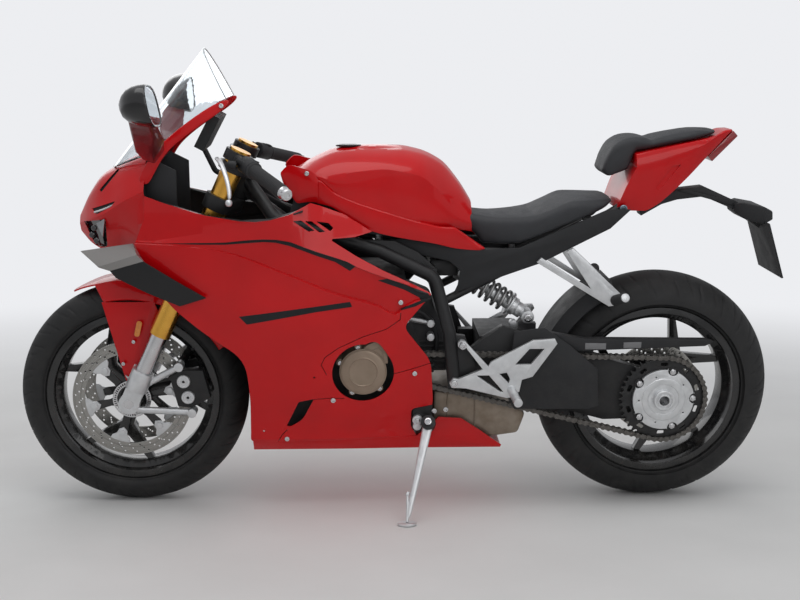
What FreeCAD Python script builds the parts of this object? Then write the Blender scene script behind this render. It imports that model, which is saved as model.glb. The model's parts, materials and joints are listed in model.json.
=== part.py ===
import FreeCAD, Part
import os
import re
from math import atan2, cos, degrees, hypot, pi, radians, sin
from types import SimpleNamespace

# A sport bike with a full fairing, parked on its side stand, in millimetres.
# It is modelled upright: X forward from the rear axle, Y to the left, Z up from the ground.
# Every node is then leaned onto the stand and moved to the middle of the base.

# Driving sizes: name, value and what it measures
SIZES = [
    ("wheelbase", 1385, "rear axle to front axle"),
    ("lean_angle", 7, "lean on the side stand, degrees"),
    ("rake", 25, "steering axis from the vertical, degrees"),
    ("fork_offset", 32, "steering axis to front axle"),
    ("front_tyre_r", 300, "front tyre radius"),
    ("front_tyre_half", 60, "front tyre half width and crown radius"),
    ("front_rim_half", 50, "front rim half width"),
    ("rear_tyre_r", 313, "rear tyre radius"),
    ("rear_tyre_half", 80, "rear tyre half width and crown radius"),
    ("rear_rim_half", 68, "rear rim half width"),
    ("rim_r", 226, "rim flange radius, both wheels"),
    ("bead_r", 216, "bead seat radius"),
    ("rim_well_r", 198, "rim well radius"),
    ("rim_wall", 8, "rim wall thickness"),
    ("spoke_depth", 22, "spoke thickness along the axle"),
    ("spoke_stem", 32, "width of a spoke's stem"),
    ("spoke_arm", 17, "width of a spoke's two arms"),
    ("spoke_spread", 27, "half angle between a spoke's arms at the rim, degrees"),
    ("front_axle_r", 12.5, "front axle radius"),
    ("front_hub_r", 40, "front hub radius"),
    ("front_hub_half", 54, "front hub half length"),
    ("running_gap", 0.08, "radial clearance of a shaft"),
    ("seat_gap", 0.3, "clearance where pieces seat"),
    ("disc_r", 155, "front brake disc radius"),
    ("disc_inner_r", 122, "front brake track inner radius"),
    ("disc_t", 5, "brake disc thickness"),
    ("disc_y", 64, "front disc centre plane from the middle"),
    ("fork_y", 105, "fork leg from the middle"),
    ("fork_outer_r", 27, "gold outer tube radius"),
    ("fork_inner_r", 21.5, "silver inner tube radius"),
    ("fork_foot_top", 96, "top of the fork foot along the leg"),
    ("fork_foot_r", 29, "radius of the foot round the tube"),
    ("fork_gold_start", 202, "lower end of the gold tube along the leg"),
    ("fork_top", 722, "upper end of the gold tube along the leg"),
    ("fork_plate_y", 92, "inner face of the foot"),
    ("fork_plate_t", 26, "foot thickness"),
    ("clamp_low", 560, "lower fork clamp, along the leg"),
    ("clamp_low_t", 36, "lower fork clamp thickness"),
    ("clamp_high", 664, "upper fork clamp, along the leg"),
    ("clamp_high_t", 20, "upper fork clamp thickness"),
    ("stem_r", 14, "steering stem radius"),
    ("head_r", 30, "head tube radius"),
    ("bar_r", 11, "handlebar radius"),
    ("grip_r", 17, "grip radius"),
    ("fender_r", 312, "front fender inner radius"),
    ("fender_t", 4, "fender thickness"),
    ("fender_half", 76, "front fender half width"),
    ("skin", 4, "thickness of the painted panels"),
    ("outlet_depth", 9, "depth of the air outlet in the side panels"),
    ("rail_r", 9, "screen rail radius"),
    ("cover_y", 112, "outer face of the covers under the seat"),
    ("frame_tube_r", 17, "frame tube radius"),
    ("frame_y", 130, "frame tubes from the middle"),
    ("frame_low_y", 166, "lower end of the frame tubes from the middle"),
    ("tail_tube_y", 90, "tail frame tubes from the middle"),
    ("subframe_r", 11, "tail frame tube radius"),
    ("pivot_x", 512, "swingarm pivot ahead of the rear axle"),
    ("pivot_z", 384, "swingarm pivot height"),
    ("pivot_r", 14, "swingarm pivot shaft radius"),
    ("arm_y", 90, "inner face of the swingarm's blade"),
    ("arm_t", 30, "swingarm blade thickness"),
    ("hub_housing_r", 62, "rear hub housing radius"),
    ("chain_y", 137, "chain middle plane"),
    ("chain_pitch", 15.875, "chain pitch"),
    ("rear_teeth", 44, "rear sprocket teeth"),
    ("front_teeth", 15, "front sprocket teeth"),
    ("chain_h", 15, "height of the chain's side plates"),
    ("chain_w", 20, "chain width over its plates"),
    ("roller_w", 9.5, "space between the chain's plates"),
    ("sprocket_t", 7, "sprocket thickness"),
    ("front_sprocket_x", 640, "front sprocket ahead of the rear axle"),
    ("front_sprocket_z", 400, "front sprocket height"),
    ("rear_disc_r", 122, "rear brake disc radius"),
    ("rear_disc_y", 40, "rear disc centre plane from the middle"),
    ("pad_gap", 5, "clearance between a brake disc and its caliper"),
    ("caliper_angle", 141.5, "front caliper round the axle from the fork's front, degrees"),
    ("engine_half", 112, "engine half width"),
    ("opening_x", 780, "round opening in the side fairing, along the machine"),
    ("opening_z", 402, "round opening in the side fairing, height"),
    ("opening_r", 78, "radius of the round opening"),
    ("cover_r", 60, "alternator cover radius"),
    ("peg_r", 11, "footrest radius"),
    ("stand_r", 11, "side stand leg radius"),
    ("stand_pivot_x", 612, "side stand pivot along the machine"),
    ("stand_pivot_y", 160, "side stand pivot from the middle"),
    ("stand_pivot_z", 258, "side stand pivot height"),
    ("stand_foot_x", 672, "side stand foot along the machine"),
    ("stand_foot_y", 296, "side stand foot from the middle"),
    ("plate_w", 180, "width of the rear plate"),
]

doc = FreeCAD.newDocument("SportBike")
sheet = doc.addObject("Spreadsheet::Sheet", "Sizes")
for row, (alias, value, meaning) in enumerate(SIZES, 1):
    sheet.set("A%d" % row, meaning)
    sheet.set("B%d" % row, str(value))
    sheet.setAlias("B%d" % row, alias)
doc.recompute()
s = SimpleNamespace(**{alias: float(getattr(sheet, alias)) for alias, _, _ in SIZES})

NODES = {}


# Helpers for the document
def vec(x, y, z):
    return FreeCAD.Vector(x, y, z)


def place(x=0, y=0, z=0, axis=(0, 0, 1), angle=0):
    return FreeCAD.Placement(vec(x, y, z), FreeCAD.Rotation(vec(*axis), angle))


def pointing(start, direction):
    """A placement at start whose Z points along direction."""
    return FreeCAD.Placement(vec(*start), FreeCAD.Rotation(vec(0, 0, 1), vec(*direction)))


def bind(obj, prop, size):
    """Sets a property to a number, or binds it to a formula of the sheet's names."""
    if isinstance(size, str):
        obj.setExpression(prop, re.sub(r"[a-z][a-z_]+", r"Sizes.\g<0>", size))
    else:
        setattr(obj, prop, size)


def cylinder(radius, height, placement):
    obj = doc.addObject("Part::Cylinder", "Cylinder")
    bind(obj, "Radius", radius)
    bind(obj, "Height", height)
    obj.Placement = placement
    return obj


def box(length, width, height, placement):
    obj = doc.addObject("Part::Box", "Box")
    bind(obj, "Length", length)
    bind(obj, "Width", width)
    bind(obj, "Height", height)
    obj.Placement = placement
    return obj


def rod(start, end, radius):
    """A cylinder from one point to another."""
    step = vec(*end) - vec(*start)
    return cylinder(radius, step.Length, pointing(start, tuple(step)))


def fuse(*shapes):
    obj = doc.addObject("Part::MultiFuse", "Fuse")
    obj.Shapes = list(shapes)
    return obj


def cut(base, *tools):
    for tool in tools:
        obj = doc.addObject("Part::Cut", "Cut")
        obj.Base = base
        obj.Tool = tool
        base = obj
    return base


def common(*shapes):
    obj = doc.addObject("Part::MultiCommon", "Common")
    obj.Shapes = list(shapes)
    return obj


def group(*shapes):
    """Solids that don't touch, kept as one node."""
    obj = doc.addObject("Part::Compound", "Group")
    obj.Links = list(shapes)
    return obj


def mirrored(source):
    obj = doc.addObject("Part::Mirroring", "Mirror")
    obj.Source = source
    obj.Normal = vec(0, 1, 0)
    return obj


def both_sides(left):
    return group(left, mirrored(left))


def solid(shape):
    obj = doc.addObject("Part::Feature", "Solid")
    obj.Shape = shape
    return obj


def edges(points):
    """Lines and arcs: (a, b) is a corner, (ma, mb, a, b) is an arc through m to the corner."""
    made = []
    last = points[-1][-2:]
    for point in points:
        end = point[-2:]
        start3, end3 = vec(last[0], last[1], 0), vec(end[0], end[1], 0)
        if len(point) == 4:
            made.append(Part.Arc(start3, vec(point[0], point[1], 0), end3))
        else:
            made.append(Part.LineSegment(start3, end3))
        last = end
    return made


def draw(sketch, *loops):
    for loop in loops:
        if isinstance(loop, tuple):
            a, b, radius = loop
            sketch.addGeometry(Part.Circle(vec(a, b, 0), vec(0, 0, 1), radius), False)
        else:
            for edge in edges(loop):
                sketch.addGeometry(edge, False)


UPRIGHT = {"side": place(axis=(1, 0, 0), angle=90),
           "front": FreeCAD.Placement(vec(0, 0, 0), FreeCAD.Rotation(vec(0, 1, 0), vec(0, 0, 1), vec(1, 0, 0), "ZXY")),
           "plan": place()}
NORMAL = {"side": (0, 1, 0), "front": (1, 0, 0), "plan": (0, 0, 1)}


def prism(view, low, high, *loops):
    """A sketch seen from the side (x, z), the front (y, z) or above (x, y), extruded low to high."""
    sketch = doc.addObject("Sketcher::SketchObject", "Outline")
    draw(sketch, *loops)
    normal = vec(*NORMAL[view])
    base = UPRIGHT[view].copy()
    base.Base = normal * low
    sketch.Placement = base
    obj = doc.addObject("Part::Extrusion", "Prism")
    obj.Base = sketch
    obj.DirMode = "Custom"
    obj.Dir = normal
    obj.LengthFwd = high - low
    obj.Solid = True
    return obj


def loft(wires, ruled=True):
    return solid(Part.makeLoft(wires, True, ruled))


def wire(points):
    """A closed wire of lines and arcs through 3-D points, in the same form as edges()."""
    made = []
    last = points[-1][-1]
    for point in points:
        end = point[-1]
        if len(point) == 2:
            made.append(Part.Arc(vec(*last), vec(*point[0]), vec(*end)).toShape())
        elif end != last:
            made.append(Part.makeLine(vec(*last), vec(*end)))
        last = end
    return Part.Wire(made)


def tube(points, radius, bend):
    """A round tube along straight runs joined by arcs of one bend radius."""
    path = [vec(*p) for p in points]
    made = []
    here = path[0]
    for before, corner, after in zip(path, path[1:], path[2:]):
        into, out = (corner - before).normalize(), (after - corner).normalize()
        turn = into.getAngle(out)
        back = bend * sin(turn / 2) / cos(turn / 2)
        start, end = corner - into * back, corner + out * back
        inward = (out - into).normalize()
        middle = corner + inward * (bend / cos(turn / 2) - bend)
        made.append(Part.makeLine(here, start))
        made.append(Part.Arc(start, middle, end).toShape())
        here = end
    made.append(Part.makeLine(here, path[-1]))
    spine = Part.Wire(made)
    ring = Part.Wire(Part.makeCircle(radius, path[0], path[1] - path[0]))
    return solid(spine.makePipeShell([ring], True, False))


# Helpers for bodies made of sketches and features
def new_body():
    return doc.addObject("PartDesign::Body", "Body")


def body_sketch(body, role, *loops):
    sketch = body.newObject("Sketcher::SketchObject", "Sketch")
    plane = [f for f in body.Origin.OriginFeatures if f.Role == role][0]
    sketch.AttachmentSupport = [(plane, "")]
    sketch.MapMode = "FlatFace"
    draw(sketch, *loops)
    return sketch


def lift(sketch, height):
    sketch.AttachmentOffset = place(0, 0, height)
    return sketch


def pad(body, sketch, length, midplane=False):
    feature = body.newObject("PartDesign::Pad", "Pad")
    feature.Profile = sketch
    bind(feature, "Length", length)
    feature.Midplane = midplane
    return feature


def pocket_through(body, sketch):
    feature = body.newObject("PartDesign::Pocket", "Pocket")
    feature.Profile = sketch
    feature.Type = 1
    feature.Midplane = True
    return feature


def revolve(body, sketch):
    feature = body.newObject("PartDesign::Revolution", "Revolution")
    feature.Profile = sketch
    feature.ReferenceAxis = (sketch, ["V_Axis"])
    feature.Angle = 360
    return feature


def polar(body, features, count):
    pattern = body.newObject("PartDesign::PolarPattern", "Pattern")
    pattern.Originals = features
    axis = [f for f in body.Origin.OriginFeatures if f.Role == "Z_Axis"][0]
    pattern.Axis = (axis, [""])
    pattern.Angle = 360
    pattern.Occurrences = count
    body.Tip = pattern
    return pattern


# Frames: the ground under the rear axle, each wheel on its axle, and the fork
REAR_AXLE = (0, 0, s.rear_tyre_r)
FRONT_AXLE = (s.wheelbase, 0, s.front_tyre_r)
ON_SIDE = FreeCAD.Rotation(vec(1, 0, 0), -90)
REAR_WHEEL = FreeCAD.Placement(vec(*REAR_AXLE), ON_SIDE)
FRONT_WHEEL = FreeCAD.Placement(vec(*FRONT_AXLE), ON_SIDE)
FORK = FreeCAD.Placement(vec(*FRONT_AXLE), FreeCAD.Rotation(vec(0, 1, 0), -s.rake))
CALIPER = place(axis=(0, 1, 0), angle=-s.caliper_angle)


def check(stage, labels):
    """Stops the build if any object failed or a named node has no valid solid."""
    doc.recompute()
    for obj in doc.Objects:
        if "Invalid" in obj.State or "Error" in obj.State:
            raise RuntimeError("%s: %s %s failed" % (stage, obj.TypeId, obj.Label))
    for label in labels:
        shape = NODES[label].Shape
        if shape.isNull() or not shape.isValid() or not shape.Solids:
            raise RuntimeError("%s: %s has no valid solid" % (stage, label))


def node(label, obj, frame=None):
    obj.Label = label
    if frame:
        obj.Placement = frame.multiply(obj.Placement)
    NODES[label] = obj
    check("upright", [label])
    return obj


def at_angle(radius, angle):
    return radius * cos(radians(angle)), radius * sin(radians(angle))


# Wheels: local Z is the axle, pointing to the left
def tyre(label, radius, half, rim_half, frame):
    shoulder = radius - half
    bead, over = s.bead_r + 1, s.rim_r + s.seat_gap * 6
    body = new_body()
    sketch = body_sketch(body, "XZ_Plane", [
        (shoulder, half), (radius, 0, shoulder, -half), (over, -rim_half - 3),
        (over, -rim_half + 6), (bead, -rim_half + 8), (bead, rim_half - 8),
        (over, rim_half - 6), (over, rim_half + 3)])
    revolve(body, sketch)
    node(label, body, frame)


def rim_profile(half):
    outer = [(s.rim_r, -half), (s.rim_r, -half + 5), (s.bead_r, -half + 7), (s.bead_r, -half * 0.5),
             (s.rim_well_r, -half * 0.36), (s.rim_well_r, half * 0.36), (s.bead_r, half * 0.5),
             (s.bead_r, half - 7), (s.rim_r, half - 5), (s.rim_r, half)]
    inside = [(s.bead_r - s.rim_wall, half), (s.bead_r - s.rim_wall, half * 0.56),
              (s.rim_well_r - s.rim_wall, half * 0.4), (s.rim_well_r - s.rim_wall, -half * 0.4),
              (s.bead_r - s.rim_wall, -half * 0.56), (s.bead_r - s.rim_wall, -half)]
    return outer + inside


def spoke_outline():
    """One Y spoke along +X: a stem that parts into two arms."""
    reach = s.rim_well_r - s.rim_wall / 2
    tip = degrees(s.spoke_arm / 2 / reach)
    fork_at = 0.46 * reach
    stem = s.spoke_stem / 2
    return [(20, -stem), (fork_at, -stem), at_angle(reach, -s.spoke_spread - tip),
            at_angle(reach, -s.spoke_spread + tip), (0.6 * reach, 0),
            at_angle(reach, s.spoke_spread - tip), at_angle(reach, s.spoke_spread + tip),
            (fork_at, stem), (20, stem)]


def rim(label, half, hub_r, hub_half, bore_r, frame, first_angle):
    body = new_body()
    revolve(body, body_sketch(body, "XZ_Plane", rim_profile(half)))
    spoke = pad(body, body_sketch(body, "XY_Plane", spoke_outline()), "spoke_depth", True)
    polar(body, [spoke], 3)
    hub = [(bore_r, -hub_half), (hub_r, -hub_half), (hub_r, hub_half), (bore_r, hub_half)]
    revolve(body, body_sketch(body, "XZ_Plane", hub))
    bore = body_sketch(body, "XY_Plane", (0, 0, bore_r))
    pocket_through(body, bore)
    turned = frame.multiply(place(angle=first_angle))
    node(label, body, turned)


def front_wheel():
    tyre("front_tyre", s.front_tyre_r, s.front_tyre_half, s.front_rim_half, FRONT_WHEEL)
    rim("front_rim", s.front_rim_half, s.front_hub_r, s.front_hub_half, s.front_axle_r,
        FRONT_WHEEL, -47)
    left = front_disc()
    node("front_discs", both_sides(left))


def front_disc():
    """A drilled-track disc on a six armed carrier that bolts to the hub's end."""
    body = new_body()
    track = body_sketch(body, "XY_Plane", (0, 0, s.disc_r), (0, 0, s.disc_inner_r))
    pad(body, track, "disc_t", True)
    arm = body_sketch(body, "XY_Plane", [
        (34, -15), (60, -9), (s.disc_inner_r + 3, -13), (s.disc_inner_r + 3, 13), (60, 9), (34, 15)])
    arms = polar(body, [pad(body, arm, "disc_t", True)], 6)
    ring = lift(body_sketch(body, "XY_Plane", (0, 0, 46), (0, 0, 28)), -s.disc_t / 2 - 7.2)
    pad(body, ring, s.disc_t + 7.2)
    body.Placement = FRONT_WHEEL.multiply(place(0, 0, s.disc_y))
    return body


def rear_wheel():
    tyre("rear_tyre", s.rear_tyre_r, s.rear_tyre_half, s.rear_rim_half, REAR_WHEEL)
    hub_half, hub_r = 24, 55
    rim("rear_rim", s.rear_rim_half, hub_r, hub_half, 20, REAR_WHEEL, -12)
    node("rear_sprocket", sprocket_body(s.rear_teeth, 78, "sprocket_t"), REAR_WHEEL.multiply(place(0, 0, s.chain_y)))
    node("sprocket_carrier", carrier(hub_half), REAR_WHEEL)
    disc = new_body()
    pad(disc, body_sketch(disc, "XY_Plane", (0, 0, s.rear_disc_r), (0, 0, 24)), "disc_t", True)
    reach = s.rear_disc_y - hub_half - s.seat_gap
    pad(disc, lift(body_sketch(disc, "XY_Plane", (0, 0, hub_r), (0, 0, 24)), -reach), reach)
    node("rear_disc", disc, REAR_WHEEL.multiply(place(0, 0, s.rear_disc_y)))


def pitch_radius(teeth):
    return s.chain_pitch / 2 / sin(pi / teeth)


def sprocket_body(teeth, bore_r, thickness):
    teeth = int(teeth)
    pitch_r = pitch_radius(teeth)
    root, tip = pitch_r - 5.3, pitch_r + 4.5
    points = []
    for k in range(teeth):
        middle = 360.0 * k / teeth
        quarter = 90.0 / teeth
        points.append(at_angle(root, middle - 1.5 * quarter))
        points.append(at_angle(tip, middle - 0.4 * quarter))
        points.append(at_angle(tip, middle + 0.4 * quarter))
        points.append(at_angle(root, middle + 1.5 * quarter))
    body = new_body()
    pad(body, body_sketch(body, "XY_Plane", points, (0, 0, bore_r)), thickness, True)
    return body


def carrier(hub_half):
    """The silver carrier outside the sprocket, with the hollow axle and the nut on its far end."""
    body = new_body()
    face = s.chain_y + s.sprocket_t / 2
    pad(body, lift(body_sketch(body, "XY_Plane", (0, 0, 80)), face), 10)
    pad(body, lift(body_sketch(body, "XY_Plane", (0, 0, 19.9)), -60), face + 60)
    pad(body, lift(body_sketch(body, "XY_Plane", (0, 0, 26)), face + 10), 12)
    nut = 22
    pad(body, lift(body_sketch(body, "XY_Plane", (0, 0, 32)), -hub_half - s.seat_gap - nut), nut)
    pocket_through(body, lift(body_sketch(body, "XY_Plane", (0, 0, 13)), 0))
    return body


# Steering: modelled in the fork's frame, Z up the legs from the axle, X forward
def steering():
    leg = place(0, s.fork_y, 0)
    gap = s.running_gap
    inner = cylinder("fork_inner_r", s.fork_gold_start + 120 - 60, leg.multiply(place(0, 0, 60)))
    node("fork_inner_tubes", both_sides(inner), FORK)
    outer = cut(cylinder("fork_outer_r", "fork_top - fork_gold_start", leg.multiply(place(0, 0, s.fork_gold_start))),
                cylinder("fork_inner_r + seat_gap", 140, leg.multiply(place(0, 0, s.fork_gold_start - 1))))
    node("fork_outer_tubes", both_sides(outer), FORK)
    node("fork_feet", both_sides(fork_foot()), FORK)
    across = (0, 1, 0)
    axle = fuse(
        cylinder("front_axle_r - running_gap", "2 * (fork_plate_y + fork_plate_t)",
                 pointing((0, -s.fork_plate_y - s.fork_plate_t, 0), across)),
        *[cylinder(17, s.fork_plate_y - s.front_hub_half - 2 * s.seat_gap, pointing((0, start, 0), across))
          for start in (s.front_hub_half + s.seat_gap, -s.fork_plate_y + s.seat_gap)])
    node("front_axle", axle, FORK)
    node("fork_clamps", fork_clamps(), FORK)
    node("front_calipers", both_sides(front_caliper()), FORK)
    node("front_fender", front_fender())
    bars()


def fork_foot():
    """The silver foot: a plate round the axle, a socket for the tube, two caliper arms and a fender tab."""
    y_mid = s.fork_plate_y + s.fork_plate_t / 2
    plate = cylinder(27, "fork_plate_t", pointing((0, s.fork_plate_y, 0), (0, 1, 0)))
    web = box(48, s.fork_plate_t, 62, place(-24, s.fork_plate_y, 0))
    socket = cylinder("fork_foot_r", s.fork_foot_top - 42, place(0, s.fork_y, 42))
    arms = []
    for start, side in (((-24, -10), 64), ((-18, 62), -64)):
        end = CALIPER.multVec(vec(150, 0, side))
        arms.append(rod((start[0], y_mid - 4, start[1]), (end.x, y_mid - 4, end.z), 9))
        arms.append(cylinder(12 - s.seat_gap, 34, pointing((end.x, 80, end.z), (0, 1, 0))))
    tab = prism("side", s.fender_half + s.seat_gap, s.fender_half + 6, [
        (-10, 46), (24, 46), (66, 72), (66, 160), (48, 160), (32, 94), (-10, 92)])
    tube_bore = cylinder("fork_inner_r + running_gap", 60, place(0, s.fork_y, 60))
    axle_bore = cylinder("front_axle_r - running_gap / 2", 60,
                         pointing((0, s.fork_plate_y - 10, 0), (0, 1, 0)))
    return cut(fuse(plate, web, socket, tab, *arms), tube_bore, axle_bore)


def front_caliper():
    """A caliper astride the disc, drawn with X outward from the axle and Z along the disc's edge."""
    inner, outer = s.disc_y - s.disc_t / 2 - s.pad_gap, s.disc_y + s.disc_t / 2 + s.pad_gap
    front = prism("side", outer, 100, [(118, -40), (150, -52), (205, -38), (205, 38), (150, 52), (118, 40)])
    back = prism("side", 42, inner, [(118, -38), (188, -38), (188, 38), (118, 38)])
    bridge = prism("side", inner - 1, outer + 1, [
        (s.disc_r + s.pad_gap, -38), (188, -38), (188, 38), (s.disc_r + s.pad_gap, 38)])
    caps = [cylinder(15, 6, pointing((150, 99, z), (0, 1, 0))) for z in (-22, 22)]
    whole = fuse(front, back, bridge, *caps)
    whole.Placement = CALIPER
    return whole


def fork_clamps():
    stem_x = -s.fork_offset
    made = []
    for start, thick in ((s.clamp_low, s.clamp_low_t), (s.clamp_high, s.clamp_high_t)):
        ear = s.fork_outer_r + 9
        outline = [(-ear, s.fork_y), (0, s.fork_y + ear, ear, s.fork_y), (stem_x + 28, 0),
                   (ear, -s.fork_y), (0, -s.fork_y - ear, -ear, -s.fork_y), (stem_x - 26, 0)]
        made.append(prism("plan", start, start + thick, outline,
                          (0, s.fork_y, s.fork_outer_r), (0, -s.fork_y, s.fork_outer_r)))
    stem = cylinder("stem_r", s.clamp_high - s.clamp_low, place(stem_x, 0, s.clamp_low))
    return fuse(stem, *made)


def front_fender():
    """The arch over the tyre with a leg down each side to the fork feet."""
    body = new_body()
    inner, outer, half = s.fender_r, s.fender_r + s.fender_t, s.fender_half
    drop = 46
    sketch = body_sketch(body, "XZ_Plane", [
        (outer, -half + 18), (outer, half - 18), (outer - drop, half), (inner - drop, half - s.fender_t),
        (inner, half - 20), (inner, -half + 20), (inner - drop, -half + s.fender_t), (outer - drop, -half)])
    arch = revolve(body, sketch)
    arch.Angle = 88
    body.Placement = FRONT_WHEEL.multiply(place(angle=-150))
    x, z = s.wheelbase, s.front_tyre_r
    spear = prism("plan", z, z + outer + 10, mirror_plan([
        (x - outer, half + 1), (x + 52, half + 1), (x + 152, 9)]))
    leg_outline = [(x + 64, z + 262), (x + 12, z + 52), (x - 10, z + 52), (x - 92, z + 200), (x - 70, z + 262)]
    leg = prism("side", s.fender_half - s.fender_t, s.fender_half, leg_outline)
    return fuse(common(body, spear), leg, mirrored(leg))


def bars():
    grip_start, grip_end = bar_ends()
    ring_z = s.clamp_high + s.clamp_high_t + 6
    ring = cut(cylinder("fork_outer_r + 8", 26, place(0, s.fork_y, ring_z)),
               cylinder("fork_outer_r", 40, place(0, s.fork_y, ring_z - 5)))
    inner_end = (-3, s.fork_y + s.fork_outer_r + 7, ring_z + 13)
    bar = rod(inner_end, grip_end, "bar_r")
    node("handlebars", both_sides(fuse(ring, bar)), FORK)
    along = (vec(*grip_end) - vec(*inner_end)).normalize()
    start = vec(*inner_end) + along * 92
    grip = cut(rod(tuple(start), tuple(vec(*grip_end) + along * 8), "grip_r"),
               rod(tuple(start - along * 5), grip_end, "bar_r"))
    node("grips", both_sides(grip), FORK)
    mid = vec(*inner_end) + along * 66
    reach = vec(34, 0, 6)
    pod = cut(fuse(cylinder(21, 48, pointing(tuple(mid - along * 24), tuple(along))),
                   rod(tuple(mid), tuple(mid + reach), 8)),
              rod(tuple(mid - along * 40), tuple(mid + along * 40), "bar_r + running_gap"))
    node("switch_pods", both_sides(pod), FORK)
    tip = vec(*grip_end) + vec(64, -40, -40)
    knuckle_from, knuckle_to = mid + reach * 1.012, mid + reach * 1.75
    lever = fuse(rod(tuple(knuckle_from), tuple(knuckle_to), 8),
                 rod(tuple(mid + reach * 1.55), tuple(tip), 5.5), ball(tuple(tip), 8))
    node("levers", both_sides(lever), FORK)


def ball(centre, radius):
    obj = doc.addObject("Part::Sphere", "Ball")
    bind(obj, "Radius", radius)
    obj.Placement = place(*centre)
    return obj


def bar_ends():
    """Ends of the left grip in the fork's frame, from its place on the upright machine."""
    back = FORK.inverse()
    start = back.multVec(vec(1083, 140, 945))
    end = back.multVec(vec(965, 345, 884))
    return tuple(start), tuple(end)


# Frame, engine and swingarm
def head_point(height):
    """A point on the steering axis, by its distance up the fork from the axle."""
    return tuple(FORK.multVec(vec(-s.fork_offset, 0, height)))


def main_frame():
    low, high = s.clamp_low + s.clamp_low_t + s.seat_gap, s.clamp_high - s.seat_gap
    head_start = head_point(low)
    up = FORK.Rotation.multVec(vec(0, 0, 1))
    head = cylinder("head_r", high - low, pointing(head_start, tuple(up)))
    top, bottom = head_point(high - 22), head_point(low + 22)
    y, low_y, tail_y = s.frame_y, s.frame_low_y, s.tail_tube_y
    side_y = s.engine_half + s.seat_gap + s.frame_tube_r - 3
    rail = tube([(top[0] - 10, 12, top[2]), (1000, 96, 780), (736, y, 704), (600, y + 12, 640),
                 (562, low_y, 500), (548, low_y, 380)], s.frame_tube_r, 40)
    brace = rod((bottom[0] - 10, 12, bottom[2]), (850, y - 6, 690), "frame_tube_r - 3")
    drop = rod((905, side_y + 2, 752), (890, side_y, 470), "frame_tube_r - 3")
    pivot_plate = prism("side", low_y - s.frame_tube_r + 3, low_y + 4, [
        (574, 500), (522, 492), (496, 420), (494, 362), (562, 354), (568, 400)])
    tail = tube([(736, tail_y + 2, 704), (388, tail_y, 692), (200, tail_y - 6, 762), (96, tail_y - 16, 822)],
                s.subframe_r, 30)
    strut = rod((584, tail_y + 6.5, 560), (190, tail_y - 4, 760), "subframe_r")
    tank_pads = [rod((824, 118, 730), (824, 118, 749.9), 10),
                 rod((600, tail_y, 700), (600, tail_y, 741.2), 8)]
    seat_post = rod((400, tail_y, 692), (400, tail_y, 714.7), 8)
    cover_pegs = [rod((x, tail_y - 8, z), (x, s.cover_y - s.skin - s.seat_gap, z), 7)
                  for x, z in ((388, 692), (250, 743))]
    spar = prism("side", y - 12, y - 2, [
        (840, 728), (800, 732), (700, 730), (640, 700), (592, 655), (600, 640), (736, 704), (807, 722)])
    left = fuse(rail, brace, drop, pivot_plate, spar, tail, strut, seat_post, *tank_pads, *cover_pegs)
    pivot = cylinder("pivot_r", 2 * low_y, pointing((s.pivot_x, -low_y, s.pivot_z), (0, 1, 0)))
    cross = [rod((x, -half, z), (x, half, z), "subframe_r")
             for x, half, z in ((736, y, 704), (604, y + 14, 650), (584, y + 18, 560), (190, tail_y - 6, 766))]
    clevis = cut(box(68, 60, 40, place(536, 20, 630)), box(38, 36 + 2 * s.seat_gap, 60, place(530, 32 - s.seat_gap, 620)))
    pin = rod((548, 22, 648), (548, 78, 648), 7)
    stay_from, stay_bend = FORK.multVec(vec(-8, 0, 628)), FORK.multVec(vec(44, 0, 632))
    stay = tube([tuple(stay_from), tuple(stay_bend), (1182.3, 0, 944.2)], 7, 14)
    bore = cylinder("stem_r + running_gap", high - low + 20, pointing(tuple(vec(*head_start) - up * 10), tuple(up)))
    return cut(fuse(head, left, mirrored(left), pivot, clevis, pin, stay, *cross), bore)


def engine_block():
    outline = [(600, 262), (600, 350), (655, 520), (672, 640), (830, 640), (866, 520), (1000, 440),
               (1010, 300), (930, 250), (690, 250)]
    half = s.engine_half
    shaft = cylinder(16, s.chain_y - s.roller_w / 2 - half,
                     pointing((s.front_sprocket_x, half, s.front_sprocket_z), (0, 1, 0)))
    return fuse(prism("side", -half, half, outline), shaft)


def engine_covers():
    """The alternator cover on the left and the clutch cover on the right."""
    x, z, face = s.opening_x, s.opening_z, s.engine_half + s.seat_gap
    left = fuse(cylinder("cover_r", 64, pointing((x, face, z), (0, 1, 0))),
                cylinder(20, 56, pointing((x - 44, face, z + 44), (0, 1, 0))))
    right = cylinder("cover_r + 10", 60, pointing((x, -face, z), (0, -1, 0)))
    return group(left, right)


def swingarm():
    """A single blade on the left, from the pivot round the tyre to the hub housing."""
    z0, r = s.rear_tyre_r, s.hub_housing_r
    px, pz, y = s.pivot_x, s.pivot_z, s.arm_y
    blade = prism("side", y, y + s.arm_t, [
        (-20, z0 - r + 4), (150, z0 - 62), (330, 300), (px, pz - 50), (px + 50, pz, px, pz + 50), (470, 470),
        (420, 505), (300, 470), (120, 408), (-20, z0 + r - 4)])
    housing_end = s.chain_y - s.sprocket_t / 2 - 6
    hub = cylinder("hub_housing_r", housing_end - 50, pointing((0, 50, z0), (0, 1, 0)))
    bridge = box(110, 190, 96, place(px - 145, -100, pz - 9))
    right_lug = cylinder(44, 30, pointing((px, -112, pz), (0, 1, 0)))
    right_beam = box(150, 28, 70, place(px - 145, -110, pz - 9))
    shock_lug = box(44, y - 68, 64, place(330, 68 + s.seat_gap, 474))
    pin = rod((352, 26, 520), (352, 92, 520), 7)
    axle_bore = cylinder("20 + running_gap", 200, pointing((0, -20, z0), (0, 1, 0)))
    pivot_bore = cylinder("pivot_r + running_gap", 300, pointing((px, -150, pz), (0, 1, 0)))
    return cut(fuse(blade, hub, bridge, right_lug, right_beam, shock_lug, pin), axle_bore, pivot_bore)


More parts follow.
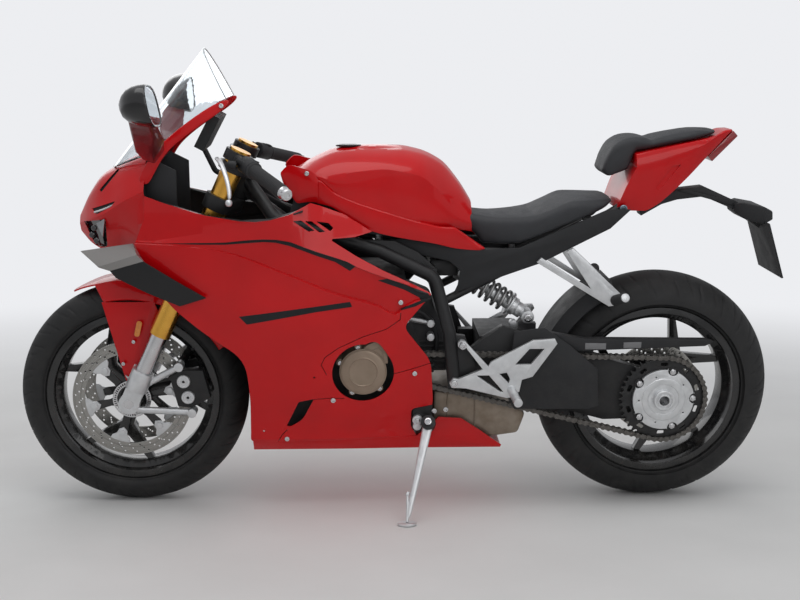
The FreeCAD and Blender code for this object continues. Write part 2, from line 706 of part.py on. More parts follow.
def shock():
    low, high = vec(352, 50, 520), vec(548, 50, 648)
    along = (high - low).normalize()
    length = (high - low).Length
    points = [(0, 30), (22, 30), (22, 52)]
    for turn in range(6):
        start = 56 + turn * 18
        points += [(26, start), (33, start + 5), (33, start + 9), (26, start + 14)]
    points += [(20, length - 40), (14, length - 12), (0, length - 12)]
    body = new_body()
    revolve(body, body_sketch(body, "XZ_Plane", points))
    body.Placement = pointing(tuple(low), tuple(along))
    eyes = [cylinder(17, 36, pointing((p.x, p.y - 18, p.z), (0, 1, 0))) for p in (low, high)]
    necks = [rod(tuple(low), tuple(low + along * 34), 12), rod(tuple(high), tuple(high - along * 16), 12)]
    bores = [cylinder("7 + running_gap", 60, pointing((p.x, p.y - 30, p.z), (0, 1, 0))) for p in (low, high)]
    return cut(fuse(body, *eyes, *necks), *bores)


def chain():
    """One fixed loop of side plates with rollers on its straight runs."""
    r_rear, r_front = pitch_radius(s.rear_teeth), pitch_radius(s.front_teeth)
    x1, z1 = s.front_sprocket_x, s.front_sprocket_z
    z0 = s.rear_tyre_r
    reach = hypot(x1, z1 - z0)
    slope = degrees(atan2(z1 - z0, x1))
    tilt = degrees(atan2(r_rear - r_front, reach))

    def loop(grow):
        a, b = r_rear + grow, r_front + grow
        up, down = 90 + slope - tilt, slope - 90 + tilt
        points = [(x1 + b * cos(radians(up)), z1 + b * sin(radians(up)))]
        points.append((a * cos(radians(up)), z0 + a * sin(radians(up))))
        points.append((a * cos(radians(slope + 180)), z0 + a * sin(radians(slope + 180)),
                       a * cos(radians(down)), z0 + a * sin(radians(down))))
        points.append((x1 + b * cos(radians(down)), z1 + b * sin(radians(down))))
        points[0] = (x1 + b * cos(radians(slope)), z1 + b * sin(radians(slope))) + points[0]
        return [points[1], points[2], points[3], points[0]]

    half, plate = s.chain_w / 2, (s.chain_w - s.roller_w) / 2
    sides = []
    for start in (s.chain_y - half, s.chain_y + half - plate):
        sides.append(prism("side", start, start + plate, loop(s.chain_h / 2), loop(-s.chain_h / 2)))
    rollers = []
    up, down = 90 + slope - tilt, slope - 90 + tilt
    for angle in (up, down):
        start = vec(r_rear * cos(radians(angle)), 0, z0 + r_rear * sin(radians(angle)))
        end = vec(x1 + r_front * cos(radians(angle)), 0, z1 + r_front * sin(radians(angle)))
        run = end - start
        count = int(run.Length // s.chain_pitch)
        step = run * (1.0 / count)
        for k in range(3, count - 2):
            at = start + step * k
            rollers.append(cylinder(5, s.chain_w - 2, pointing((at.x, s.chain_y - half + 1, at.z), (0, 1, 0))))
    return fuse(*sides, *rollers)


def front_sprocket():
    body = sprocket_body(s.front_teeth, 12, "roller_w - 2 * seat_gap")
    body.Placement = FreeCAD.Placement(vec(s.front_sprocket_x, s.chain_y, s.front_sprocket_z), ON_SIDE)
    return body


# Bodywork
def wall(stations, profile, thickness):
    """A curved side panel: the profile (y, z) carried along x by a table of x and shift in y."""
    wires = []
    for x, shift in stations:
        outer = [(y + shift, z) for y, z in profile]
        inner = [(y - thickness, z) for y, z in outer]
        wires.append(wire([
            ((x, *outer[0]), ), ((x, *outer[1]), (x, *outer[2])),
            ((x, *outer[3]), (x, *outer[4])), ((x, *inner[4]), ), ((x, *inner[3]), (x, *inner[2])),
            ((x, *inner[1]), (x, *inner[0]))]))
    return loft(wires)


FAIRING_STATIONS = [(1340, -52), (1180, -14), (1000, 0), (820, -4), (560, -34)]
FAIRING_PROFILE = [(122, 168), (196, 380), (212, 560), (208, 700), (186, 870)]


def grown(points, distance):
    """A closed outline moved outwards by a distance, with its corners kept sharp."""
    turning = sum(a[0] * b[1] - b[0] * a[1] for a, b in zip(points, points[1:] + points[:1]))
    side = distance if turning > 0 else -distance
    moved = []
    for before, here, after in zip(points[-1:] + points[:-1], points, points[1:] + points[:1]):
        first, second = vec(*here, 0) - vec(*before, 0), vec(*after, 0) - vec(*here, 0)
        first, second = first.normalize(), second.normalize()
        out_a, out_b = vec(first.y, -first.x, 0), vec(second.y, -second.x, 0)
        step = (out_a + out_b) * (side / (1 + out_a.dot(out_b)))
        moved.append((here[0] + step.x, here[1] + step.y))
    return moved


# The air outlet in each side panel, seen from the side, and the three slots of its upper vent
OUTLET = [(1190, 739), (1088, 744), (967, 737), (872, 701), (798, 674), (719, 638), (640, 594), (702, 557),
          (742, 578), (851, 612), (969, 662), (1119, 716)]
VENT_SLOTS = [[(950, 790), (930, 791), (898, 767), (912, 765)],
              [(919, 789), (903, 788), (870, 763), (884, 762)],
              [(892, 787), (862, 782), (852, 771), (860, 765)]]


def side_fairing():
    outline = [(1316, 846), (1163, 801), (1078, 789), (1006, 793), (908, 830), (824, 749), (736, 704),
               (608, 606), (679, 523), (608, 429), (597, 314), (600, 302), (656, 294), (656, 240), (640, 212),
               (1071, 202.5), (1065, 337), (1075, 442), (1172, 507), (1267, 584), (1316, 667)]

    def panel(shift, thickness):
        return wall(FAIRING_STATIONS, [(y + shift, z) for y, z in FAIRING_PROFILE], thickness)

    skin = common(panel(0, s.skin), prism("side", 60, 260, outline))
    hole = cylinder("opening_r", 200, pointing((s.opening_x, 100, s.opening_z), (0, 1, 0)))
    slot = prism("side", 60, 260, [(985, 246), (970, 240), (902, 330), (917, 336)])
    vents = [prism("side", 60, 260, corners) for corners in VENT_SLOTS]
    opened = cut(skin, hole, slot, *vents, prism("side", 60, 260, OUTLET))
    around = grown(OUTLET, s.skin)
    recess = common(panel(-s.outlet_depth, s.skin), prism("side", 60, 260, around))
    rim = common(panel(0, s.outlet_depth + s.skin), prism("side", 60, 260, around, OUTLET))
    return fuse(opened, recess, rim)


def belly_fairing():
    """The tray under the engine, as wide at each station as the side panels above it."""
    wires = []
    for x, half, base in ((1066, 142, 112), (820, 138, 112), (640, 124, 108), (408, 122, 108)):
        t = s.skin
        outer = [(-half, 270), (-half, 212), (-base, 172), (base, 172), (half, 212), (half, 270)]
        inner = [(half - t, 270), (half - t, 214), (base - 2, 172 + t), (2 - base, 172 + t),
                 (t - half, 214), (t - half, 270)]
        wires.append(wire([((x, y, z), ) for y, z in outer + inner]))
    outline = prism("side", -160, 160, [
        (1066, 202), (640, 211.5), (583, 262), (524, 258), (469, 221), (415, 179), (420, 165), (1066, 165)])
    return common(loft(wires), outline)


def nose_section(x, half, low, high, inset=0):
    w, z0, z1 = half - inset, low + inset, high - inset
    mid = z0 + 0.52 * (z1 - z0)
    return wire([((x, -0.45 * w, z0), ), ((x, 0.45 * w, z0), ), ((x, w, mid), ),
                 ((x, 0.62 * w, z1 - 0.1 * (z1 - z0)), ), ((x, 0, z1), (x, -0.62 * w, z1 - 0.1 * (z1 - z0))),
                 ((x, -w, mid), )])


# Nose stations: x, half width, lowest z, highest z
NOSE_STATIONS = [(1505, 22, 735, 782), (1440, 96, 690, 888), (1360, 138, 668, 930), (1316.3, 150, 663, 946)]


def nose_shape(inset):
    return loft([nose_section(x + (-inset if i == 0 else 0), half, low, high, inset)
                 for i, (x, half, low, high) in enumerate(NOSE_STATIONS)])


def lamp_slot(clearance):
    c = clearance
    return prism("side", 24 + c, 160, [(1486 - c, 768 - c), (1462 - c, 704 + c), (1432 + c, 704 + c), (1424 + c, 780 - c)])


def nose_cowl():
    shell = cut(nose_shape(0), nose_inside())
    slot = lamp_slot(0)
    rail = screen_rail(s.rail_r)
    return fuse(cut(shell, slot, mirrored(slot)), rail, mirrored(rail))


def screen_rail(radius):
    """The left rail that carries the screen's edge and the mirror."""
    return tube([(1330, 112, 872), (1272, 118.9, 955.2), (1105, 98.5, 1080.1)], radius, 20)


def nose_inside():
    """The hollow of the nose, open at the back."""
    wires = [nose_section(x - 6 if i == 0 else x, half, low, high, s.skin)
             for i, (x, half, low, high) in enumerate(NOSE_STATIONS)]
    x, half, low, high = NOSE_STATIONS[-1]
    wires.append(nose_section(x - 20, half, low, high, s.skin))
    return loft(wires)


def headlamps():
    inset = s.skin + s.seat_gap
    inner = loft([nose_section(x - (6 if i == 0 else 0), half, low, high, inset)
                  for i, (x, half, low, high) in enumerate(NOSE_STATIONS[:2])])
    lamp = common(inner, lamp_slot(s.seat_gap))
    return both_sides(lamp)


def screen_band(end, top, thickness):
    """A thin arc from the left end over the middle to the right end, flat in its own plane."""
    rise, half = hypot(top[0] - end[0], top[2] - end[2]), end[1]
    radius = (half ** 2 + rise ** 2) / (2 * rise)
    outward = vec(top[0] - end[0], 0, top[2] - end[2]).normalize()
    centre = vec(*top) - outward * radius
    shrink = (radius - thickness) / radius

    def moved(point):
        return tuple(centre + (vec(*point) - centre) * shrink)

    other = (end[0], -end[1], end[2])
    return wire([(top, other), (moved(other), ), (moved(top), moved(end)), (end, )])


def windscreen():
    screen = loft([screen_band((1262, 108, 964), (1414, 0, 903), 3.5),
                   screen_band((1114, 90, 1078), (1176, 0, 1200), 3.5)])
    rail = screen_rail(s.rail_r + s.seat_gap)
    return cut(screen, rail, mirrored(rail))


def flat_wire(view, level, points):
    """A closed wire of corners in the plane y = level (side) or x = level (front)."""
    if view == "side":
        return wire([((x, level, z), ) for x, z in points])
    return wire([((level, y, z), ) for y, z in points])


def mirrors():
    stalk = loft([flat_wire("side", 128.3, [(1264, 950), (1284, 930), (1302, 940), (1284, 964)]),
                  flat_wire("side", 246, [(1278, 1042), (1326, 1042), (1330, 1060), (1274, 1060)])])
    shell = loft([flat_wire("front", 1336, [(238, 1038), (352, 1050), (350, 1108), (252, 1104)]),
                  flat_wire("front", 1258, [(222, 1022), (376, 1042), (366, 1126), (236, 1118)])])
    return both_sides(fuse(stalk, shell))


def winglets():
    """A swept blade from the nose's flank down past the fairing's front edge."""
    blade = loft([flat_wire("side", 60, [(1480, 712), (1300, 732), (1300, 718), (1452, 694)]),
                  flat_wire("side", 218, [(1430, 674), (1172, 604), (1182, 592), (1420, 662)])])
    gap = s.seat_gap
    inside = wall(FAIRING_STATIONS, [(y + gap, z) for y, z in FAIRING_PROFILE], 140)
    return both_sides(cut(blade, nose_shape(-gap), inside))


def instrument():
    return box(26, 160, 92, place(1176, -80, 948, (0, 1, 0), -28))


def cockpit_panels():
    """A ledge along the inside of each fairing's upper edge."""
    ledge = prism("side", 152, 240, [(1300, 842), (1163, 799), (1078, 787), (1006, 791), (926, 816), (926, 812),
                                     (1006, 787), (1078, 783), (1163, 795), (1300, 838)])
    back = s.skin + s.seat_gap
    inside = wall(FAIRING_STATIONS, [(y - back, z) for y, z in FAIRING_PROFILE], 100)
    return both_sides(common(ledge, inside))


def tank_section(x, half, low, high):
    return wire([((x, -half * 0.9, low), ), ((x, half * 0.9, low), ),
                 ((x, half, low + 0.55 * (high - low)), (x, half * 0.72, low + 0.86 * (high - low))),
                 ((x, 0, high), (x, -half * 0.72, low + 0.86 * (high - low))),
                 ((x, -half, low + 0.55 * (high - low)), (x, -half * 0.9, low))])


# Tank stations: x, half width, lowest z, highest z
TANK_STATIONS = [(948, 88, 838, 896), (905, 122, 822, 926), (824, 146, 752, 949), (708, 146, 738, 957),
                 (605, 118, 742, 931), (520, 80, 748, 862)]


def fuel_tank():
    return loft([tank_section(*row) for row in TANK_STATIONS])


def cut_to_plan(side_outline, plan_outline, half, low, high):
    return common(prism("side", -half, half, side_outline), prism("plan", low, high, plan_outline))


def mirror_plan(points):
    """A plan outline from its left half, listed from back to front."""
    return points + [(x, -y) for x, y in reversed(points)]


def rider_seat():
    side = [(519.7, 746), (498, 742), (469, 712), (388, 716), (186, 800), (160, 812), (140, 832),
            (245, 834), (344, 795), (440, 786), (506, 795), (519.7, 800)]
    return cut_to_plan(side, mirror_plan([(140, 92), (245, 128), (360, 116), (470, 86), (520, 70)]), 140, 700, 850)


def seat_covers():
    outline = [(548, 590), (326, 668), (151, 757), (100, 806), (160, 806), (382, 708), (466, 704), (560, 738), (660, 734),
               (736, 727), (736, 718), (640, 692), (560, 674), (532, 650), (538, 612)]
    return both_sides(prism("side", s.cover_y - s.skin, s.cover_y, outline))


def tail_cowl():
    side = [(132, 806), (86, 945), (-120, 985), (-160, 1003), (-172, 998), (-105, 934), (5, 826), (60, 796)]
    cowl = cut_to_plan(side, mirror_plan([(-175, 34), (-100, 62), (40, 92), (140, 100)]), 110, 780, 1010)
    y = s.tail_tube_y
    socket = rod((200, y - 6, 762), (95, y - 16.1, 822.6), "subframe_r + seat_gap")
    outer = s.cover_y - s.skin - 2
    root = prism("side", y - 2, outer, [(84, 800), (84, 850), (112, 850), (134, 803), (114, 796)])
    strip = prism("side", y + 8, outer, [(134, 803), (173, 788), (236, 762), (226, 751), (173, 765), (114, 796)])
    left = fuse(root, strip)
    return cut(fuse(cowl, left, mirrored(left)), socket, mirrored(socket))


def passenger_seat():
    """The pad on the tail, with a hump that comes down in front of it."""
    side = [(-120, 985.4), (86.3, 945.4), (100.5, 903), (150, 880), (169, 897), (160, 932), (135, 968), (115, 980),
            (73, 989), (37, 982), (-33, 996), (-83, 1003), (-128, 1001)]
    return cut_to_plan(side, mirror_plan([(-130, 40), (-60, 70), (90, 78), (170, 62)]), 90, 870, 1010)


def tail_lamp():
    side = [(-172.3, 997.7), (-105.3, 933.7), (-118, 920), (-186, 984)]
    return cut_to_plan(side, mirror_plan([(-195, 30), (-100, 52)]), 60, 900, 1000)


def plate_holder():
    arm = prism("side", -22, 22, [(59.8, 795.6), (4.8, 825.6), (-40, 844), (-110, 852), (-200, 812), (-268, 760),
                                  (-262, 742), (-196, 790), (-110, 826), (-40, 818), (0, 806), (52, 776)])
    plate = box(4, s.plate_w, 150, place(-262, -s.plate_w / 2, 764, (0, 1, 0), 198))
    return fuse(arm, plate)


def chain_guard():
    guard = prism("side", s.chain_y - 10, s.chain_y + 12, [
        (330, 500), (215, 478), (-100, 474), (-122, 468), (-100, 457), (215, 446), (330, 455)])
    face = s.arm_y + s.arm_t + s.seat_gap
    tab = box(38, s.chain_y - 8 - face, 14, place(282, face, 452))
    return fuse(guard, tab)


def sprocket_cover():
    """The cover outside the chain, on two posts that pass between the chain's runs to the swingarm."""
    outline = [(412, 330), (395, 500), (319, 510), (250, 462), (178, 400), (172, 300), (200, 292), (390, 294)]
    face = s.arm_y + s.arm_t + s.seat_gap
    posts = [cylinder(10, 153 - face, pointing((x, face, z), (0, 1, 0))) for x, z in ((340, 382), (230, 335))]
    return fuse(prism("side", 152, 158, outline), *posts)


def hugger():
    """The arch over the front of the rear tyre, from 14 to 66 degrees above level, with two tabs."""
    body = new_body()
    inner, outer, half = s.rear_tyre_r + 12, s.rear_tyre_r + 16, 86
    sketch = body_sketch(body, "XZ_Plane", [
        (outer, -half + 20), (outer, half - 20), (outer - 34, half), (inner - 34, half - 4),
        (inner, half - 22), (inner, -half + 22), (inner - 34, -half + 4), (outer - 34, -half)])
    revolve(body, sketch).Angle = 52
    tabs = []
    for angle in (42, 50):
        x, y = at_angle(outer - 28, angle)
        tabs.append(cylinder(6, s.arm_y - s.seat_gap - half + 5, place(x, y, half - 5)))
    return fuse(body, *tabs)


def rider_footrests():
    """A forked arm with a three cornered window, a heel plate with a slanted one, and the peg."""
    inner, outer = s.frame_low_y + s.frame_tube_r + s.seat_gap, s.frame_low_y + s.frame_tube_r + 12
    arm = prism("side", inner, outer, [
        (536, 488), (524, 484), (402, 352), (392, 362), (384, 340), (416, 336), (520, 362), (556, 364), (562, 376),
        (552, 388), (540, 386), (478, 412)],
        [(494, 396), (432, 352), (424, 352), (462, 396)])
    heel = prism("side", inner + 2, outer, [
        (458, 430), (466, 414), (402, 346), (384, 352), (378, 384), (351, 392), (291, 478), (297, 490), (352, 487)],
        [(396, 424), (361, 465), (323, 465), (356, 424)])
    peg = rod((404, outer - 4, 358), (398, outer + 86, 350), "peg_r")
    lug = cylinder(11, s.frame_tube_r - 4 + s.seat_gap, pointing((530, s.frame_low_y + 4 + s.seat_gap, 474), (0, 1, 0)))
    gap = prism("side", inner - 1, outer + 1, [(436, 400), (417, 403), (408, 386), (411, 375)])
    return both_sides(fuse(cut(fuse(arm, heel), gap), peg, lug))


def passenger_footrests():
    outline = [(338, 672), (326, 684), (196, 602), (262, 700), (246, 708), (118, 588), (116, 562), (148, 556)]
    inner = s.cover_y + s.seat_gap
    plate = prism("side", inner, inner + 10, outline)
    peg = rod((134, inner + 5, 572), (124, inner + 83, 596), "peg_r")
    return both_sides(fuse(plate, peg))


def radiator():
    core = box(30, 340, 330, place(1012, -170, 330, (0, 1, 0), 8))
    return fuse(core, *[rod((1004, y, 400), (1030, y, 400), 8) for y in (-60, 60)])


def exhaust_headers():
    left = tube([(1009.9, 50, 298), (1036, 50, 292), (1024, 56, 205), (900, 66, 205), (690, 66, 205), (650, 62, 224), (596.4, 62, 224)],
                18, 21)
    return both_sides(left)


def muffler():
    outline = [(596, 328), (470, 314), (362, 276), (354, 262), (372, 210), (444, 200), (596, 206)]
    return prism("side", -108, 108, outline)


def rear_caliper():
    """A caliper ahead of the rear axle, astride the disc and carried by the swingarm's blade."""
    slot_half = s.disc_t / 2 + s.pad_gap
    inner = s.rear_disc_y - slot_half
    body = box(58, 66 - 18, 60, place(112, 18, s.rear_tyre_r - 53))
    slot = cylinder(s.rear_disc_r + s.pad_gap, 2 * slot_half, pointing((0, inner, s.rear_tyre_r), (0, 1, 0)))
    mount = box(40, s.arm_y - s.seat_gap - 64, 40, place(122, 64, s.rear_tyre_r - 43))
    return fuse(cut(body, slot), mount)


# Side stand
STAND_AXIS = (0.099, 0.83, 0.548)


def side_stand():
    """The leg on its tilted pivot, with a sole that lies on the ground once the machine is leaned."""
    pivot, axis = vec(s.stand_pivot_x, s.stand_pivot_y, s.stand_pivot_z), vec(*STAND_AXIS)
    lean = radians(s.lean_angle)
    floor = (s.front_tyre_half - s.rear_tyre_half) * (1 - cos(lean))
    rise = s.front_tyre_half * (1 - cos(lean))
    ground = (floor - rise + s.stand_foot_y * sin(lean)) / cos(lean)
    foot = vec(s.stand_foot_x, s.stand_foot_y, ground + 6)
    leg = rod(tuple(pivot), tuple(foot), "stand_r")
    boss = cylinder(19, 22, pointing(tuple(pivot - axis * 11), STAND_AXIS))
    sole = cylinder(24, 7, place(foot.x, foot.y, ground, (1, 0, 0), s.lean_angle))
    return fuse(leg, boss, sole)


def stand_bracket():
    """A block on the engine's flank and the tilted lug that the stand turns on."""
    pivot, axis = vec(s.stand_pivot_x, s.stand_pivot_y, s.stand_pivot_z), vec(*STAND_AXIS)
    face = s.engine_half + s.seat_gap
    block = prism("side", face, 134, [(600, 264), (626, 233), (652, 233), (652, 292), (600, 300)])
    back = 11 + s.seat_gap
    lug = cylinder(17, 15, pointing(tuple(pivot - axis * (back + 15)), STAND_AXIS))
    return fuse(block, lug)


front_wheel()
rear_wheel()
steering()
for label, build in [
        ("main_frame", main_frame), ("engine_block", engine_block), ("engine_covers", engine_covers),
        ("swingarm", swingarm), ("shock", shock), ("chain", chain), ("front_sprocket", front_sprocket),
        ("belly_fairing", belly_fairing), ("nose_cowl", nose_cowl), ("headlamps", headlamps),
        ("windscreen", windscreen), ("mirrors", mirrors), ("winglets", winglets),
        ("instrument", instrument), ("cockpit_panels", cockpit_panels), ("fuel_tank", fuel_tank),
        ("rider_seat", rider_seat), ("seat_covers", seat_covers), ("tail_cowl", tail_cowl),
        ("passenger_seat", passenger_seat), ("tail_lamp", tail_lamp), ("plate_holder", plate_holder),
        ("chain_guard", chain_guard), ("sprocket_cover", sprocket_cover), ("hugger", hugger),
        ("rider_footrests", rider_footrests), ("passenger_footrests", passenger_footrests),
        ("radiator", radiator), ("exhaust_headers", exhaust_headers), ("muffler", muffler),
        ("rear_caliper", rear_caliper), ("stand_bracket", stand_bracket), ("side_stand", side_stand)]:
    node(label, build())
fairing = side_fairing()
node("side_fairing_left", group(fairing))
node("side_fairing_right", mirrored(fairing))
NODES["hugger"].Placement = REAR_WHEEL.multiply(place(angle=-66))


LEAN = FreeCAD.Placement(vec(0, 0, s.front_tyre_half * (1 - cos(radians(s.lean_angle)))),
                         FreeCAD.Rotation(vec(1, 0, 0), -s.lean_angle))
for obj in NODES.values():
    obj.Placement = LEAN.multiply(obj.Placement)
doc.recompute()
reach = FreeCAD.BoundBox()
for obj in NODES.values():
    reach.add(obj.Shape.optimalBoundingBox(True, False))
shift = place(-reach.Center.x, -reach.Center.y, -reach.ZMin)
for obj in NODES.values():
    obj.Placement = shift.multiply(obj.Placement)
check("leaned", NODES)

os.makedirs("parts", exist_ok=True)
for label, obj in NODES.items():
    obj.Shape.exportStep("parts/%s.step" % label)
print("size %.0f x %.0f x %.0f" % (reach.XLength, reach.YLength, reach.ZLength))
print("shift %.3f %.3f %.3f" % tuple(shift.Base))
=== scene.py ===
import bpy
import json
from math import asin, atan2, cos, hypot, pi, radians, sin
from mathutils import Matrix, Vector

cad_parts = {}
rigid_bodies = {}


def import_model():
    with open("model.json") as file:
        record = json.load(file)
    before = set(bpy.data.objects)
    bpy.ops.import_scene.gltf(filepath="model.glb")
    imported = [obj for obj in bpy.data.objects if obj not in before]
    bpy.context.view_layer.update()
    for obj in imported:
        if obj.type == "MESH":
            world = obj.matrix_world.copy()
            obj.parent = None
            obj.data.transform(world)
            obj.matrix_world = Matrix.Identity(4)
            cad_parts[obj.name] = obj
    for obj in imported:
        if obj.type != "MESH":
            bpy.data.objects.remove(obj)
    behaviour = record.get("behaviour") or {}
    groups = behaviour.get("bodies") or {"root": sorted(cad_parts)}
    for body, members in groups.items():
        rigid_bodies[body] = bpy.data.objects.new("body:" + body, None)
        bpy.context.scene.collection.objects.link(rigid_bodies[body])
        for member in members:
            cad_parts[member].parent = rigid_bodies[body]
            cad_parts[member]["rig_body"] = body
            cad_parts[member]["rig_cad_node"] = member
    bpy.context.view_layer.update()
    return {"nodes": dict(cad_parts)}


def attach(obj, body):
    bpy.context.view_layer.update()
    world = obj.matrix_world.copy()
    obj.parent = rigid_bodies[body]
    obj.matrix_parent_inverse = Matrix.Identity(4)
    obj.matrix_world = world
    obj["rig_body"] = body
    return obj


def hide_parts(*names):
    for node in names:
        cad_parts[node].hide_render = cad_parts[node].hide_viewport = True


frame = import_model()
nodes = frame["nodes"]

# The bike is modelled upright, in millimetres from the ground under its rear axle: X forward, Y left, Z up.
# PARKED leans it onto its stand and moves it to the frame's origin.
WHEELBASE, FRONT_R, REAR_R = 1385, 300, 313
LEAN, CASTER = 7, 25
CHAIN_Y, CHAIN_PITCH = 137, 15.875
REAR_TEETH, FRONT_TEETH = 44, 15
PARKED = Matrix.Translation((-0.686, -0.125161, 0.000596)) @ Matrix.Rotation(radians(-LEAN), 4, "X")
FORK = Matrix.Translation((WHEELBASE / 1000, 0, FRONT_R / 1000)) @ Matrix.Rotation(radians(-CASTER), 4,
                                                                                   "Y")
FRONT_AXLE = (WHEELBASE, 0, FRONT_R)
REAR_AXLE = (0, 0, REAR_R)
DOUBLES = 0.00002  # metres within which two points are one


def metres(point):
    """From millimetres to the scene's metres."""
    return Vector(point) / 1000


# Working with the operators
def deselect():
    bpy.ops.object.select_all(action="DESELECT")


def only(piece):
    """Selects one piece alone and makes it active."""
    deselect()
    piece.select_set(True)
    bpy.context.view_layer.objects.active = piece


def settle(piece):
    """Puts a piece's place, turn and size into its mesh."""
    only(piece)
    bpy.ops.object.transform_apply(location=True, rotation=True, scale=True)
    return piece


def modify(piece, kind, **settings):
    """Adds a modifier with its settings and applies it."""
    modifier = piece.modifiers.new(kind.title(), kind)
    for name, value in settings.items():
        setattr(modifier, name, value)
    only(piece)
    bpy.ops.object.modifier_apply(modifier=modifier.name)
    return piece


def editing(piece):
    """Opens a piece in edit mode with everything selected."""
    only(piece)
    bpy.ops.object.mode_set(mode="EDIT")
    bpy.ops.mesh.select_all(action="SELECT")


def done():
    bpy.ops.object.mode_set(mode="OBJECT")


def face_outward():
    """Ends an edit with every face turned outwards."""
    bpy.ops.mesh.select_all(action="SELECT")
    bpy.ops.mesh.normals_make_consistent(inside=False)
    done()


def smooth(piece, angle=35):
    only(piece)
    bpy.ops.object.shade_smooth_by_angle(angle=radians(angle))
    return piece


def tidy_mesh(piece):
    """Merges doubles and turns every face outwards."""
    editing(piece)
    bpy.ops.mesh.remove_doubles(threshold=DOUBLES)
    face_outward()
    return piece


def bevel(piece, width, angle, segments=2):
    """Rounds the edges that turn by more than an angle, by a width in millimetres."""
    return modify(piece, "BEVEL", width=width / 1000, segments=segments, limit_method="ANGLE",
                  angle_limit=radians(angle), use_clamp_overlap=True)


def softened(piece, width, angle=35, segments=2):
    """Settles a piece, rounds its edges and smooths it."""
    settle(piece)
    bevel(piece, width, angle, segments)
    return smooth(piece, angle)


def join(name, *pieces):
    """Makes one named piece of several."""
    deselect()
    for piece in pieces:
        piece.select_set(True)
    bpy.context.view_layer.objects.active = pieces[0]
    if len(pieces) > 1:
        bpy.ops.object.join()
    joined = bpy.context.object
    joined.name = name
    return joined


def copy_of(piece):
    only(piece)
    bpy.ops.object.duplicate()
    return bpy.context.object


def turned_copies(piece, count, centre, first=0):
    """The piece and its copies round an axle, as one piece. The first is turned by so many degrees."""
    settle(piece)
    copies = []
    middle = Matrix.Translation(metres(centre))
    for k in range(count):
        copy = copy_of(piece)
        turn = Matrix.Rotation(radians(first) + 2 * pi * k / count, 4, Vector((0, 1, 0)))
        copy.matrix_world = middle @ turn @ middle.inverted()
        copies.append(settle(copy))
    name = piece.name
    bpy.data.objects.remove(piece)
    return join(name, *copies)


def both_sides(piece):
    """Mirrors a piece, still upright, to the other side of the bike."""
    settle(piece)
    modifier = piece.modifiers.new("Mirror", "MIRROR")
    modifier.use_axis = (False, True, False)
    only(piece)
    bpy.ops.object.modifier_apply(modifier=modifier.name)
    return tidy_mesh(piece)


def carve(piece, *tools, how="DIFFERENCE", folded=False):
    """Cuts the tools out of a piece, and removes them. A folded piece is one whose own walls cross."""
    for tool in tools:
        modify(piece, "BOOLEAN", object=tool, operation=how, solver="EXACT", use_self=folded)
        bpy.data.objects.remove(tool)
    return piece


def facing(direction):
    """The turn that points Z along a direction."""
    return Vector((0, 0, 1)).rotation_difference(Vector(direction)).to_euler()


def rod(name, start, end, radius, sides=32, tip=None):
    """A round bar from one point to another, narrower at its end if a tip radius is given."""
    start, end = metres(start), metres(end)
    deselect()
    bpy.ops.mesh.primitive_cone_add(
        vertices=sides, radius1=radius / 1000, radius2=(radius if tip is None else tip) / 1000,
        depth=(end - start).length, location=(start + end) / 2, rotation=facing(end - start))
    piece = bpy.context.object
    piece.name = name
    return piece


def plate(name, corners, low, high):
    """A flat plate from its outline of (x, z) points, between two places along Y."""
    deselect()
    bpy.ops.mesh.primitive_circle_add(vertices=len(corners), radius=1, fill_type="NGON")
    piece = bpy.context.object
    piece.name = name
    for vertex, (x, z) in zip(piece.data.vertices, corners):
        vertex.co = metres((x, low, z))
    editing(piece)
    rise = Vector((0, 1, 0)) * (high - low) / 1000
    bpy.ops.mesh.extrude_region_move(TRANSFORM_OT_translate={"value": rise})
    face_outward()
    return piece


def turned(name, profile, centre, steps=96):
    """A shape spun about an axle: the profile gives radius and place along Y from the centre."""
    deselect()
    bpy.ops.mesh.primitive_circle_add(vertices=len(profile), radius=1, fill_type="NOTHING")
    piece = bpy.context.object
    piece.name = name
    middle = metres(centre)
    for vertex, (radius, along) in zip(piece.data.vertices, profile):
        vertex.co = middle + metres((radius, along, 0))
    editing(piece)
    bpy.ops.mesh.spin(steps=steps, angle=2 * pi, center=middle, axis=(0, 1, 0))
    bpy.ops.mesh.select_all(action="SELECT")
    bpy.ops.mesh.remove_doubles(threshold=0.00005)
    face_outward()
    return piece


def cad_copy(name, *sources):
    """A merged copy of CAD nodes, to be finished as one piece that stands for them."""
    deselect()
    for source in sources:
        nodes[source].select_set(True)
    bpy.context.view_layer.objects.active = nodes[sources[0]]
    bpy.ops.object.duplicate()
    copies = list(bpy.context.selected_objects)
    for copy in copies:
        copy.parent = None
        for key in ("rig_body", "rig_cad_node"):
            if key in copy:
                del copy[key]
    piece = join(name, *copies)
    editing(piece)
    bpy.ops.mesh.customdata_custom_splitnormals_clear()
    bpy.ops.mesh.remove_doubles(threshold=DOUBLES)
    bpy.ops.mesh.select_all(action="SELECT")
    bpy.ops.mesh.dissolve_limited(angle_limit=radians(0.6))
    done()
    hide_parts(*sources)
    return piece


def hold(piece, body, material):
    """Gives a finished piece its material and the body that it rides."""
    if material:
        piece.data.materials.clear()
        piece.data.materials.append(material)
    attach(piece, body)
    return piece


def park(piece, kind, body="chassis", on=None):
    """Leans a piece that was modelled upright, or in the fork's frame, and gives it a finish and a body.

    Without a finish, the piece keeps its own.
    """
    settle(piece)
    piece.matrix_world = PARKED @ on if on else PARKED
    settle(piece)
    return hold(piece, body, FINISH[kind] if kind else None)


